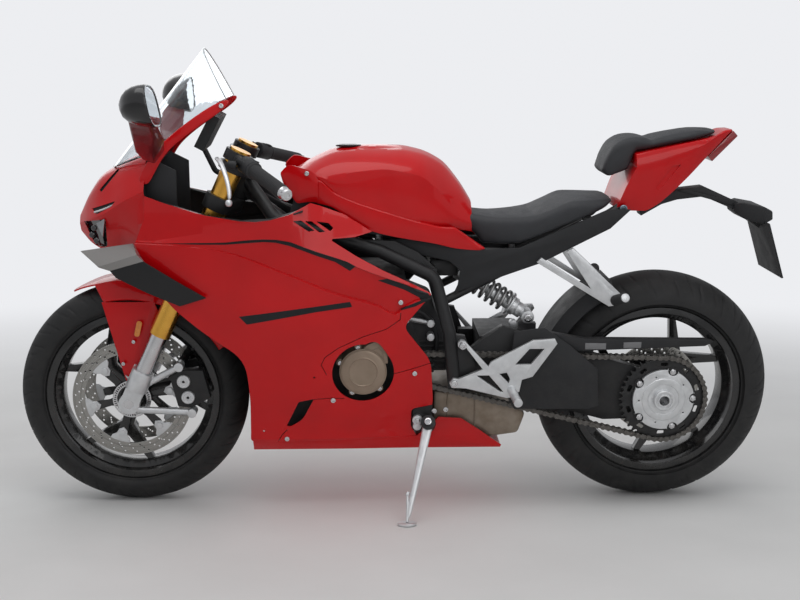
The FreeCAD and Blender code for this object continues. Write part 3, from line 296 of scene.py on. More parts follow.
# Materials
def add(tree, kind, inputs=None, **settings):
    """A shader node whose inputs are given as values or as the sockets that feed them."""
    made = tree.nodes.new("ShaderNode" + kind)
    for name, value in settings.items():
        setattr(made, name, value)
    for socket, value in (inputs or {}).items():
        if isinstance(value, bpy.types.NodeSocket):
            tree.links.new(value, made.inputs[socket])
        else:
            made.inputs[socket].default_value = value
    return made


def maths(tree, operation, *values):
    return add(tree, "Math", dict(enumerate(values)), operation=operation).outputs[0]


def ranged(tree, value, low, high, to_low=0.0, to_high=1.0):
    """A value mapped from one range to another."""
    return add(tree, "MapRange", {"Value": value, "From Min": low, "From Max": high, "To Min": to_low,
                                  "To Max": to_high}).outputs[0]


def blended(tree, amount, first, second):
    mix = add(tree, "Mix", {0: amount, 6: first, 7: second}, data_type="RGBA")
    return mix.outputs[2]


def effect(name, inputs, outputs):
    """A node group with named inputs and outputs."""
    tree = bpy.data.node_groups.new(name, "ShaderNodeTree")
    for label, kind, value in inputs:
        socket = tree.interface.new_socket(name=label, in_out="INPUT", socket_type="NodeSocket" + kind)
        if value is not None:
            socket.default_value = value
    for label, kind in outputs:
        tree.interface.new_socket(name=label, in_out="OUTPUT", socket_type="NodeSocket" + kind)
    return tree, tree.nodes.new("NodeGroupInput"), tree.nodes.new("NodeGroupOutput")


def grain_effect():
    """Blotches of tone and a fine relief."""
    tree, given, result = effect("Grain", [("Scale", "Float", 60.0), ("Fineness", "Float", 900.0)],
                                 [("Tone", "Float"), ("Height", "Float")])
    place = add(tree, "TexCoord").outputs["Object"]
    broad = add(tree, "TexNoise", {"Vector": place, "Scale": given.outputs["Scale"], "Detail": 5.0})
    fine = add(tree, "TexNoise", {"Vector": place, "Scale": given.outputs["Fineness"], "Detail": 3.0})
    tree.links.new(ranged(tree, broad.outputs["Fac"], 0.32, 0.68), result.inputs["Tone"])
    tree.links.new(fine.outputs["Fac"], result.inputs["Height"])
    return tree


def wear_effect():
    """Rounded edge normals, and a broken mask along the edges."""
    tree, given, result = effect("Edge wear", [("Radius", "Float", 0.0015), ("Reach", "Float", 0.25)],
                                 [("Mask", "Float"), ("Normal", "Vector")])
    rounded = add(tree, "Bevel", {"Radius": given.outputs["Radius"]}, samples=4).outputs["Normal"]
    flat = add(tree, "NewGeometry").outputs["Normal"]
    match = add(tree, "VectorMath", {0: rounded, 1: flat}, operation="DOT_PRODUCT").outputs["Value"]
    edge = maths(tree, "SUBTRACT", 1.0, match)
    place = add(tree, "TexCoord").outputs["Object"]
    broken = add(tree, "TexNoise", {"Vector": place, "Scale": 240.0, "Detail": 4.0}).outputs["Fac"]
    mask = maths(tree, "MULTIPLY", ranged(tree, edge, 0.04, given.outputs["Reach"]),
                 ranged(tree, broken, 0.45, 0.6))
    tree.links.new(mask, result.inputs["Mask"])
    tree.links.new(rounded, result.inputs["Normal"])
    return tree


def dust_effect():
    """Road dust, thicker low down and on what faces up."""
    tree, given, result = effect("Road dust", [("Amount", "Float", 0.3), ("Reach", "Float", 0.7)],
                                 [("Mask", "Float")])
    place = add(tree, "TexCoord").outputs["Object"]
    height = add(tree, "SeparateXYZ", {0: place}).outputs["Z"]
    low = ranged(tree, height, given.outputs["Reach"], 0.0)
    up = add(tree, "SeparateXYZ", {0: add(tree, "NewGeometry").outputs["Normal"]}).outputs["Z"]
    cloud = add(tree, "TexNoise", {"Vector": place, "Scale": 26.0, "Detail": 8.0,
                                   "Roughness": 0.7}).outputs["Fac"]
    lying = maths(tree, "ADD", low, ranged(tree, up, 0.2, 1.0, 0.0, 0.5))
    mask = maths(tree, "MULTIPLY", maths(tree, "MULTIPLY", lying, ranged(tree, cloud, 0.4, 0.75)),
                 given.outputs["Amount"])
    tree.links.new(maths(tree, "MINIMUM", mask, 1.0), result.inputs["Mask"])
    return tree


def turning_effect():
    """Fine rings round an axle, as a lathe or a brake pad leaves them."""
    tree, given, result = effect("Turned rings", [("Vector", "Vector", None),
                                                  ("Density", "Float", 900.0)],
                                 [("Tone", "Float"), ("Height", "Float")])
    parts = add(tree, "SeparateXYZ", {0: given.outputs["Vector"]})
    flat = add(tree, "CombineXYZ", {"X": parts.outputs["X"], "Y": parts.outputs["Z"]}).outputs[0]
    radius = add(tree, "VectorMath", {0: flat}, operation="LENGTH").outputs["Value"]
    ring = add(tree, "CombineXYZ", {"X": radius, "Y": maths(tree, "MULTIPLY", parts.outputs["Y"],
                                                            0.2)}).outputs[0]
    lines = add(tree, "TexNoise", {"Vector": ring, "Scale": given.outputs["Density"],
                                   "Detail": 2.0}).outputs["Fac"]
    tree.links.new(ranged(tree, lines, 0.35, 0.65), result.inputs["Tone"])
    tree.links.new(lines, result.inputs["Height"])
    return tree


def weave_effect():
    """Two slanted sets of threads, one over the other."""
    tree, given, result = effect("Weave", [("Threads", "Float", 260.0)],
                                 [("Tone", "Float"), ("Height", "Float")])
    place = add(tree, "TexCoord").outputs["Object"]
    sets = []
    for angle in (0.7, -0.7):
        laid = add(tree, "Mapping", {"Vector": place, "Rotation": (0.0, angle, 0.0)}).outputs[0]
        sets.append(add(tree, "TexWave", {"Vector": laid, "Scale": given.outputs["Threads"]},
                        wave_profile="TRI").outputs["Fac"])
    over = maths(tree, "MAXIMUM", *sets)
    tree.links.new(maths(tree, "SUBTRACT", sets[0], sets[1]), result.inputs["Tone"])
    tree.links.new(over, result.inputs["Height"])
    return tree


FINISH = {}
GRAIN = grain_effect()
WEAR = wear_effect()
DUST = dust_effect()
TURNING = turning_effect()
WEAVE = weave_effect()


def use(tree, group, **inputs):
    """Places an effect in a material with its own values."""
    made = tree.nodes.new("ShaderNodeGroup")
    made.node_tree = group
    for name, value in inputs.items():
        if isinstance(value, bpy.types.NodeSocket):
            tree.links.new(value, made.inputs[name])
        else:
            made.inputs[name].default_value = value
    return made.outputs


def rgb(red, green, blue):
    return (red, green, blue, 1.0)


def finish(name, colour, tone, rough, grain=(60.0, 900.0), relief=0.1, metallic=0.0, wear=None,
           wear_radius=0.0015, dust=None, dust_colour=rgb(0.30, 0.27, 0.23), rings=None, weave=None,
           **shader_values):
    """Makes a material with grain, edge wear and dust, and files it under its name."""
    material = bpy.data.materials.new(name)
    material.use_nodes = True
    tree = material.node_tree
    shader = tree.nodes["Principled BSDF"]
    shader.inputs["Metallic"].default_value = metallic
    for socket, value in shader_values.items():
        shader.inputs[socket.replace("_", " ").title().replace("Ior", "IOR")].default_value = value
    if rings:
        centre, density = rings
        place = add(tree, "TexCoord").outputs["Object"]
        upright = add(tree, "Mapping", {"Vector": place, "Location": centre, "Rotation": (radians(LEAN),
                                                                                          0, 0)}).outputs[0]
        marks = use(tree, TURNING, Vector=upright, Density=density)
    elif weave:
        marks = use(tree, WEAVE, Threads=weave)
    else:
        marks = use(tree, GRAIN, Scale=grain[0], Fineness=grain[1])
    edges = use(tree, WEAR, Radius=wear_radius)
    base = blended(tree, marks["Tone"], colour, tone)
    roughness = ranged(tree, marks["Tone"], 0.0, 1.0, *rough)
    if wear:
        base = blended(tree, edges["Mask"], base, wear)
    if dust:
        lying = use(tree, DUST, Amount=dust[0], Reach=dust[1])["Mask"]
        base = blended(tree, lying, base, dust_colour)
        roughness = ranged(tree, lying, 0.0, 1.0, roughness, 0.9)
    bump = add(tree, "Bump", {"Strength": relief, "Distance": 0.001, "Height": marks["Height"],
                              "Normal": edges["Normal"]})
    tree.links.new(base, shader.inputs["Base Color"])
    tree.links.new(roughness, shader.inputs["Roughness"])
    tree.links.new(bump.outputs[0], shader.inputs["Normal"])
    FINISH[name] = material


def axle_at(point):
    """Where a Mapping node has to move the parked bike's coordinates for an axle to be their centre."""
    turn = Matrix.Rotation(radians(LEAN), 4, "X")
    return -(turn @ (PARKED @ metres(point)))


# Name, colour, second tone, roughness from and to, scale and fineness of the grain, relief
finish("red_paint", rgb(0.60, 0.0015, 0.0040), rgb(0.52, 0.0012, 0.0032), (0.28, 0.34), (8.0, 500.0),
       0.03, specular_ior_level=0.18, coat_weight=0.4, coat_roughness=0.03, wear_radius=0.002)
finish("stripe", rgb(0.008, 0.0085, 0.010), rgb(0.012, 0.013, 0.015), (0.38, 0.48), relief=0.02,
       specular_ior_level=0.25, coat_weight=0.1, coat_roughness=0.05)
finish("gloss_black", rgb(0.006, 0.006, 0.0065), rgb(0.010, 0.010, 0.011), (0.18, 0.30), (14.0, 500.0),
       0.03, specular_ior_level=0.4, coat_weight=0.5, coat_roughness=0.06, wear_radius=0.003,
       dust=(0.12, 0.5))
finish("black_metal", rgb(0.012, 0.012, 0.013), rgb(0.018, 0.018, 0.019), (0.38, 0.52), (40.0, 1400.0),
       0.12, wear=rgb(0.07, 0.07, 0.07), dust=(0.10, 0.5), specular_ior_level=0.35)
finish("black_plastic", rgb(0.014, 0.0145, 0.016), rgb(0.021, 0.0215, 0.0235), (0.5, 0.66),
       (30.0, 1700.0), 0.22, dust=(0.08, 0.6), specular_ior_level=0.35)
finish("grip_rubber", rgb(0.016, 0.016, 0.017), rgb(0.028, 0.028, 0.030), (0.62, 0.8), (60.0, 1200.0),
       0.25)
finish("tyre", rgb(0.008, 0.008, 0.0085), rgb(0.014, 0.014, 0.0145), (0.55, 0.75), (22.0, 800.0), 0.2,
       dust=(0.35, 0.75), dust_colour=rgb(0.07, 0.066, 0.062), specular_ior_level=0.4)
finish("front_disc_steel", rgb(0.24, 0.235, 0.22), rgb(0.40, 0.39, 0.37), (0.24, 0.42), relief=0.15,
       metallic=1.0, rings=(axle_at(FRONT_AXLE), 1400.0))
finish("rear_disc_steel", rgb(0.24, 0.235, 0.22), rgb(0.40, 0.39, 0.37), (0.24, 0.42), relief=0.15,
       metallic=1.0, rings=(axle_at(REAR_AXLE), 1400.0))
finish("gold", rgb(0.80, 0.44, 0.085), rgb(0.70, 0.37, 0.065), (0.22, 0.34), (18.0, 900.0), 0.05,
       metallic=1.0)
finish("bright_steel", rgb(0.56, 0.56, 0.57), rgb(0.66, 0.66, 0.67), (0.16, 0.3), (24.0, 800.0), 0.06,
       metallic=1.0, dust=(0.2, 0.4))
finish("cast_alloy", rgb(0.60, 0.61, 0.62), rgb(0.70, 0.71, 0.72), (0.3, 0.44), (50.0, 1100.0), 0.2,
       metallic=0.75, wear=rgb(0.85, 0.85, 0.86), dust=(0.08, 0.4))
finish("engine_grey", rgb(0.022, 0.022, 0.024), rgb(0.035, 0.035, 0.038), (0.5, 0.7), (40.0, 700.0), 0.35,
       metallic=0.3, dust=(0.3, 0.6))
finish("bronze_cover", rgb(0.27, 0.205, 0.15), rgb(0.32, 0.245, 0.185), (0.34, 0.46), (30.0, 1300.0),
       0.12, metallic=0.55, wear=rgb(0.45, 0.36, 0.28))
finish("chain_steel", rgb(0.085, 0.08, 0.074), rgb(0.16, 0.15, 0.14), (0.34, 0.6), (160.0, 900.0), 0.2,
       metallic=0.85, wear=rgb(0.32, 0.31, 0.29), wear_radius=0.0008)
finish("lamp_lens", rgb(0.012, 0.012, 0.014), rgb(0.02, 0.02, 0.024), (0.04, 0.09), (12.0, 300.0), 0.01,
       coat_weight=1.0, coat_roughness=0.02)
finish("tail_lens", rgb(0.30, 0.008, 0.010), rgb(0.22, 0.006, 0.008), (0.06, 0.14), (90.0, 260.0), 0.1,
       coat_weight=1.0, coat_roughness=0.03)
finish("amber_lens", rgb(0.75, 0.25, 0.015), rgb(0.66, 0.19, 0.01), (0.1, 0.2), (120.0, 420.0), 0.2,
       coat_weight=1.0, coat_roughness=0.03)
finish("radiator_black", rgb(0.020, 0.020, 0.021), rgb(0.03, 0.03, 0.031), (0.5, 0.7), relief=0.2,
       dust=(0.3, 0.7))
finish("brown_steel", rgb(0.20, 0.155, 0.115), rgb(0.30, 0.25, 0.20), (0.34, 0.5), (34.0, 700.0), 0.2,
       metallic=0.65, wear=rgb(0.4, 0.35, 0.3), dust=(0.25, 0.4))
finish("winglet_weave", rgb(0.005, 0.005, 0.006), rgb(0.020, 0.020, 0.021), (0.3, 0.4), relief=0.25,
       weave=150.0, specular_ior_level=0.3, coat_weight=0.2, coat_roughness=0.12)
finish("pale_weave", rgb(0.20, 0.19, 0.18), rgb(0.34, 0.33, 0.32), (0.26, 0.38), relief=0.2, weave=150.0,
       coat_weight=0.5, coat_roughness=0.12)
finish("spring_steel", rgb(0.30, 0.30, 0.30), rgb(0.40, 0.40, 0.40), (0.3, 0.42), (60.0, 900.0), 0.1,
       metallic=0.8, dust=(0.2, 0.6))
finish("label_grey", rgb(0.16, 0.16, 0.165), rgb(0.19, 0.19, 0.195), (0.4, 0.5), (50.0, 700.0), 0.05)
finish("seat_cover", rgb(0.020, 0.0215, 0.025), rgb(0.029, 0.031, 0.035), (0.52, 0.64), (36.0, 1500.0),
       0.5)
# Pale grey: on the screen's upper edge it is a painted highlight for the glint along the clear edge; on the
# headlamp bar it is the light bar's own pale lens.
finish("screen_glint_and_lamp_bar", rgb(0.60, 0.62, 0.63), rgb(0.70, 0.72, 0.73), (0.12, 0.2), (20.0, 400.0), 0.03)
finish("dark_red", rgb(0.16, 0.010, 0.014), rgb(0.13, 0.008, 0.012), (0.28, 0.36), (10.0, 500.0), 0.03,
       coat_weight=0.9, coat_roughness=0.05)
finish("lock_blue", rgb(0.20, 0.27, 0.33), rgb(0.27, 0.34, 0.40), (0.25, 0.4), (60.0, 800.0), 0.1,
       metallic=0.8)
finish("mirror_glass", rgb(0.72, 0.73, 0.74), rgb(0.76, 0.77, 0.78), (0.02, 0.05), (6.0, 200.0), 0.0,
       metallic=1.0)
finish("lamp_glass", rgb(0.30, 0.31, 0.33), rgb(0.40, 0.41, 0.43), (0.06, 0.14), (40.0, 300.0), 0.05,
       metallic=0.6, coat_weight=1.0, coat_roughness=0.02)


def screen_material():
    """Clear plastic that passes light, a little grey at its edges."""
    material = bpy.data.materials.new("screen")
    material.use_nodes = True
    tree = material.node_tree
    shader = tree.nodes["Principled BSDF"]
    shader.inputs["Transmission Weight"].default_value = 1.0
    shader.inputs["IOR"].default_value = 1.35
    marks = use(tree, GRAIN, Scale=10.0, Fineness=700.0)
    tree.links.new(blended(tree, marks["Tone"], rgb(0.90, 0.93, 0.95), rgb(0.84, 0.88, 0.90)),
                   shader.inputs["Base Color"])
    tree.links.new(ranged(tree, marks["Tone"], 0.0, 1.0, 0.0, 0.05), shader.inputs["Roughness"])
    return material


FINISH["screen"] = screen_material()


# The floor, the light and the camera
def pale_floor():
    """A pale floor that fades into the backdrop with distance, for the camera alone."""
    deselect()
    bpy.ops.mesh.primitive_plane_add(size=30, location=(0, 0, 0))
    floor = bpy.context.object
    floor.name = "floor"
    material = bpy.data.materials.new("floor")
    material.use_nodes = True
    tree = material.node_tree
    shader = tree.nodes["Principled BSDF"]
    marks = use(tree, GRAIN, Scale=3.0, Fineness=140.0)
    tree.links.new(blended(tree, marks["Tone"], rgb(0.70, 0.70, 0.69), rgb(0.74, 0.74, 0.73)),
                   shader.inputs["Base Color"])
    shader.inputs["Roughness"].default_value = 0.75
    bump = add(tree, "Bump", {"Strength": 0.08, "Distance": 0.001, "Height": marks["Height"]})
    tree.links.new(bump.outputs[0], shader.inputs["Normal"])
    away = add(tree, "VectorMath", {0: add(tree, "TexCoord").outputs["Object"]},
               operation="LENGTH").outputs["Value"]
    seen = add(tree, "LightPath").outputs["Is Camera Ray"]
    fade = maths(tree, "MULTIPLY", add(tree, "MapRange", {"Value": away, "From Min": 1.2,
                                                          "From Max": 5.5},
                                       interpolation_type="SMOOTHSTEP").outputs[0], seen)
    haze = add(tree, "Emission", {"Color": rgb(0.96, 0.97, 1.0), "Strength": 0.88}).outputs[0]
    surface = add(tree, "MixShader", {0: fade, 1: shader.outputs[0], 2: haze})
    tree.links.new(surface.outputs[0], tree.nodes["Material Output"].inputs["Surface"])
    floor.data.materials.append(material)


def sky():
    """An even pale backdrop, dimmer as a light and in reflections than as seen."""
    world = bpy.data.worlds.new("sky")
    bpy.context.scene.world = world
    world.use_nodes = True
    tree = world.node_tree
    seen = add(tree, "LightPath")
    direct = maths(tree, "MAXIMUM", seen.outputs["Is Camera Ray"], seen.outputs["Is Transmission Ray"])
    mirrored_sky = maths(tree, "MAXIMUM", maths(tree, "MULTIPLY", seen.outputs["Is Glossy Ray"], 0.62),
                         0.42)
    strength = maths(tree, "MAXIMUM", maths(tree, "MULTIPLY", direct, 0.88), mirrored_sky)
    background = tree.nodes["Background"]
    background.inputs["Color"].default_value = rgb(0.96, 0.97, 1.0)
    tree.links.new(strength, background.inputs["Strength"])


def soft_light(name, place, target, width, height, power):
    """A large lamp that points at a target."""
    deselect()
    direction = Vector(target) - Vector(place)
    bpy.ops.object.light_add(type="AREA", location=place,
                             rotation=direction.to_track_quat("-Z", "Y").to_euler())
    light = bpy.context.object
    light.name = name
    light.data.shape = "RECTANGLE"
    light.data.size, light.data.size_y = width, height
    light.data.energy = power


def camera():
    """The viewpoint: a little ahead of the middle, level with the tank, looking slightly down."""
    yaw, pitch = radians(-2.2), radians(6.3)
    focal, wide, film = 1150, 800, 36
    turn = Matrix.Rotation(yaw, 3, "Z")
    forward = turn @ Vector((0, -cos(pitch), -sin(pitch)))
    right = turn @ Vector((-1, 0, 0))
    up = right.cross(forward)
    axes = Matrix((right, up, -forward)).transposed()
    deselect()
    bpy.ops.object.camera_add(location=(0.111, 2.974839, 0.878596), rotation=axes.to_euler())
    made = bpy.context.object
    made.data.lens = focal / wide * film
    made.data.sensor_width = film
    bpy.context.scene.camera = made


pale_floor()
sky()
soft_light("top_light", (0.3, 1.0, 3.6), (0, 0, 0.5), 4.0, 2.4, 52)
soft_light("side_light", (-1.8, 3.6, 1.9), (0, 0, 0.5), 2.6, 1.8, 20)
soft_light("far_light", (1.2, -3.4, 2.2), (0, 0, 0.6), 3.0, 2.0, 18)
camera()
bpy.context.scene.view_settings.view_transform = "Standard"


# Bits that many pieces share
def lofted(name, rings, closed=True):
    """A skin through rings of points in millimetres: closed round and at both ends, or an open sheet."""
    across, along = len(rings[0]), len(rings)
    deselect()
    bpy.ops.mesh.primitive_grid_add(x_subdivisions=across if closed else across - 1,
                                    y_subdivisions=along - 1, size=1)
    piece = bpy.context.object
    piece.name = name
    row = across + 1 if closed else across
    for index, vertex in enumerate(piece.data.vertices):
        vertex.co = metres(rings[index // row][index % row % across])
    editing(piece)
    if closed:
        bpy.ops.mesh.remove_doubles(threshold=0.00001)
        bpy.ops.mesh.select_all(action="SELECT")
        bpy.ops.mesh.fill_holes(sides=0)
    face_outward()
    return piece


def curve_through(table, at):
    """The value at a place on a smooth line through a table of (place, value), without overshoot."""
    table = sorted(table)
    if at <= table[0][0]:
        return table[0][1]
    if at >= table[-1][0]:
        return table[-1][1]
    slopes = [(b[1] - a[1]) / (b[0] - a[0]) for a, b in zip(table, table[1:])]
    ends = [slopes[0]] + [0 if a * b <= 0 else 2 * a * b / (a + b) for a,
                          b in zip(slopes, slopes[1:])] + [slopes[-1]]
    k = max(i for i, row in enumerate(table[:-1]) if row[0] <= at)
    gap = table[k + 1][0] - table[k][0]
    u = (at - table[k][0]) / gap
    return ((2 * u ** 3 - 3 * u ** 2 + 1) * table[k][1] + (u ** 3 - 2 * u ** 2 + u) * gap * ends[k]
            + (3 * u ** 2 - 2 * u ** 3) * table[k + 1][1] + (u ** 3 - u ** 2) * gap * ends[k + 1])


def mixed(a, b, share):
    return a + (b - a) * share


def stations(start, end, steps):
    """Evenly spaced places from one to another, both ends included."""
    return [start + (end - start) * k / steps for k in range(steps + 1)]


def red_panel(sheet, thickness):
    """Gives a sheet on the left its wall: red outside, black inside."""
    if sum(face.normal.y * face.area for face in sheet.data.polygons) < 0:
        editing(sheet)
        bpy.ops.mesh.flip_normals()
        done()
    sheet.data.materials.append(FINISH["red_paint"])
    sheet.data.materials.append(FINISH["black_plastic"])
    return modify(sheet, "SOLIDIFY", thickness=thickness / 1000, offset=-1, material_offset=1)


def eased(corners):
    """An outline whose corners with a third number are rounded over that distance."""
    points = []
    for k, corner in enumerate(corners):
        if len(corner) == 2:
            points.append(corner)
            continue
        here, reach = Vector(corner[:2]), corner[2]
        before = here + (Vector(corners[k - 1][:2]) - here).normalized() * reach
        after = here + (Vector(corners[(k + 1) % len(corners)][:2]) - here).normalized() * reach
        for step in range(7):
            u = step / 6
            points.append(tuple((1 - u) ** 2 * before + 2 * u * (1 - u) * here + u * u * after))
    return points


def line_cut(points, width):
    """The outline of a narrow band along a line of (x, z) points."""
    sides = [[], []]
    for k, point in enumerate(points):
        before, after = Vector(points[max(k - 1, 0)]), Vector(points[min(k + 1, len(points) - 1)])
        along = (after - before).normalized()
        across = Vector((-along.y, along.x)) * width / 2
        sides[0].append(tuple(Vector(point) + across))
        sides[1].append(tuple(Vector(point) - across))
    return sides[0] + sides[1][::-1]


def mirrored(piece, name):
    """A copy of the piece on the other side of the bike."""
    copy = copy_of(piece)
    copy.name = name
    copy.matrix_world = Matrix.Diagonal((1, -1, 1, 1)) @ copy.matrix_world
    settle(copy)
    editing(copy)
    face_outward()
    return copy


def hose(name, points, radius, sides=4):
    """A round line through points, as a mesh."""
    deselect()
    bpy.ops.curve.primitive_nurbs_path_add()
    piece = bpy.context.object
    piece.name = name
    curve = piece.data
    curve.splines.clear()
    spline = curve.splines.new("NURBS")
    spline.points.add(len(points) - 1)
    for spot, point in zip(spline.points, points):
        spot.co = (*metres(point), 1)
    spline.order_u = 3
    spline.use_endpoint_u = True
    curve.bevel_depth = radius / 1000
    curve.bevel_resolution = sides
    curve.use_fill_caps = True
    curve.resolution_u = 8
    only(piece)
    bpy.ops.object.convert(target="MESH")
    return smooth(bpy.context.object, 50)


def socket_screw():
    """A round headed screw with a hex socket, one millimetre in radius, pointing up Z."""
    deselect()
    bpy.ops.mesh.primitive_cylinder_add(vertices=18, radius=0.001, depth=0.0009, location=(0, 0, 0.00045))
    screw = bpy.context.object
    settle(screw)
    bevel(screw, 0.28, 40)
    deselect()
    bpy.ops.mesh.primitive_cylinder_add(vertices=6, radius=0.0005, depth=0.0008, location=(0, 0, 0.0009))
    carve(screw, bpy.context.object)
    return smooth(screw, 30)


SCREW = socket_screw()


def screws(name, spots, radius, direction=(0, 1, 0)):
    """Copies of the screw, with their heads standing on the given points."""
    made = []
    for spot in spots:
        copy = copy_of(SCREW)
        copy.matrix_world = (Matrix.Translation(metres(spot)) @ facing(direction).to_matrix().to_4x4()
                             @ Matrix.Diagonal((radius, radius, radius, 1)))
        made.append(settle(copy))
    return join(name, *made)


def from_node(name, width, kind, body):
    """A CAD node with its edges rounded, standing for the node."""
    piece = cad_copy(name + "_form", name)
    bevel(piece, width, 30)
    smooth(piece, 30)
    return hold(piece, body, FINISH[kind])


# Nodes that keep their own shape
KEPT = {"front_axle": "bright_steel", "fork_inner_tubes": "bright_steel", "fork_outer_tubes": "gold",
        "engine_block": "engine_grey", "front_sprocket": "black_metal", "windscreen": "screen",
        "headlamps": "lamp_lens", "instrument": "black_plastic", "radiator": "radiator_black",
        "exhaust_headers": "brown_steel", "cockpit_panels": "black_plastic",
        "engine_covers": "bronze_cover",}
for name, kind in KEPT.items():
    nodes[name].data.materials.clear()
    nodes[name].data.materials.append(FINISH[kind])

# Nodes that show with their edges rounded: the width of the rounding and the finish
ROUNDED = {"chassis": {"main_frame": (2.0, "black_metal"), "swingarm": (3.0, "black_metal"),
                       "belly_fairing": (1.0, "red_paint"), "hugger": (1.2, "black_plastic"),
                       "chain_guard": (1.5, "black_plastic"), "sprocket_cover": (2.0, "black_plastic"),
                       "seat_covers": (1.5, "black_plastic"), "tail_lamp": (2.0, "tail_lens"),
                       "plate_holder": (1.5, "black_plastic"), "rider_footrests": (1.5, "cast_alloy"),
                       "passenger_footrests": (1.5, "cast_alloy"), "muffler": (9.0, "brown_steel"),
                       "rear_caliper": (3.0, "black_metal"), "stand_bracket": (2.0, "black_metal"),},
           "steering": {"fork_feet": (2.5, "cast_alloy"), "front_calipers": (3.5, "black_metal"),
                        "fork_clamps": (2.5, "black_metal"), "front_fender": (1.2, "red_paint"),
                        "handlebars": (1.0, "black_metal"), "switch_pods": (2.0, "black_plastic"),},
           "front_wheel": {"front_rim": (2.5, "gloss_black")},
           "rear_wheel": {"rear_rim": (2.5, "gloss_black")},}
for body, entries in ROUNDED.items():
    for name, (width, kind) in entries.items():
        from_node(name, width, kind, body)


def park_tool(tool):
    """Brings a cutter that was made in the fork's frame to where the bike stands."""
    settle(tool)
    tool.matrix_world = PARKED @ FORK
    return settle(tool)


tab_cut = plate("tab_cut", [(30, 56), (80, 56), (80, 175), (30, 175)], 58, 100)
both_sides(tab_cut)
carve(bpy.data.objects["fork_feet_form"], park_tool(tab_cut))
lug_cut = settle(plate("lug_cut", [(322, 505), (384, 505), (384, 552), (322, 552)], 64, 104))
lug_cut.matrix_world = PARKED
carve(bpy.data.objects["swingarm_form"], settle(lug_cut))


# Wheels
def tyre(name, node_name, centre, radius, half, rim_half, body):
    """A tyre with rings on its sidewalls and slanted grooves cut into its tread."""
    shoulder, flange = radius - half, 228.5
    groove_width, groove_depth, groups = 3.4, 2.6, 26
    side = [(flange - 10, rim_half - 9), (flange, rim_half - 5), (flange + 1, rim_half + 2),
            (flange + 4, rim_half + 4), (flange + 5, rim_half + 3),
            (flange + 8, min(half - 1, rim_half + 7))]
    crown = []
    turns = 30
    for k in range(turns + 1):
        angle = radians(3) + (pi - radians(6)) * k / turns
        crown.append((shoulder + half * sin(angle), half * cos(angle)))
    profile = side + crown + [(r, -y) for r, y in reversed(side)]
    piece = turned(name, profile, centre, steps=660)
    middle = metres(centre)
    pitch = 2 * pi / groups
    # Where in its group a groove starts, its length, how far out it runs from and to, and how it curves
    grooves = ((0.0, 34, 0.2 * half, 1.15 * half, 1.5), (0.5, 22, 0.5 * half, 1.3 * half, 1.1))
    for vertex in piece.data.vertices:
        place = vertex.co - middle
        out = hypot(place.x, place.z)
        lean = atan2(place.y, out - shoulder / 1000)
        reach = abs(lean) * half
        if out * 1000 < shoulder + 4 or reach < 9:
            continue
        turn = atan2(place.z, place.x) + (0.5 * pitch if place.y > 0 else 0)
        depth = 0.0
        for start, length, low, high, curve in grooves:
            if not low < reach < high:
                continue
            along = (reach - low) / (high - low)
            ahead = start * pitch + length / radius * along ** curve
            gap = ((turn - ahead + pitch / 2) % pitch - pitch / 2) * radius
            width = groove_width * min(1, 4 * along, 4 * (1 - along))
            depth = max(depth, groove_depth * max(0, 1 - (abs(gap) / max(width, 0.1)) ** 2))
        if depth:
            inward = Vector((place.x, 0, place.z)).normalized() * cos(lean) + Vector((0, sin(lean), 0))
            vertex.co -= inward * depth / 1000
    smooth(piece, 40)
    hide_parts(node_name)
    return park(piece, "tyre", body=body)


tyre("front_tyre_tread", "front_tyre", FRONT_AXLE, FRONT_R, 60, 50, "front_wheel")
tyre("rear_tyre_tread", "rear_tyre", REAR_AXLE, REAR_R, 80, 68, "rear_wheel")


def ring_plate(name, centre, outer, inner, low, high):
    """A flat ring round an axle."""
    return turned(name, [(inner, low), (outer, low), (outer, high), (inner, high)], centre, 120)


def drilled(plate_piece, centre, rows, low, high):
    """Drills rows of holes through a ring: a row's radius, hole radius, count and first angle."""
    holes = []
    for radius, hole, count, first in rows:
        drill = rod("drill", (centre[0] + radius, low - 4, centre[2]), (centre[0] + radius, high + 4,
                                                                        centre[2]), hole, 12)
        holes.append(turned_copies(drill, count, centre, first=first))
    return carve(plate_piece, join("drills", *holes))


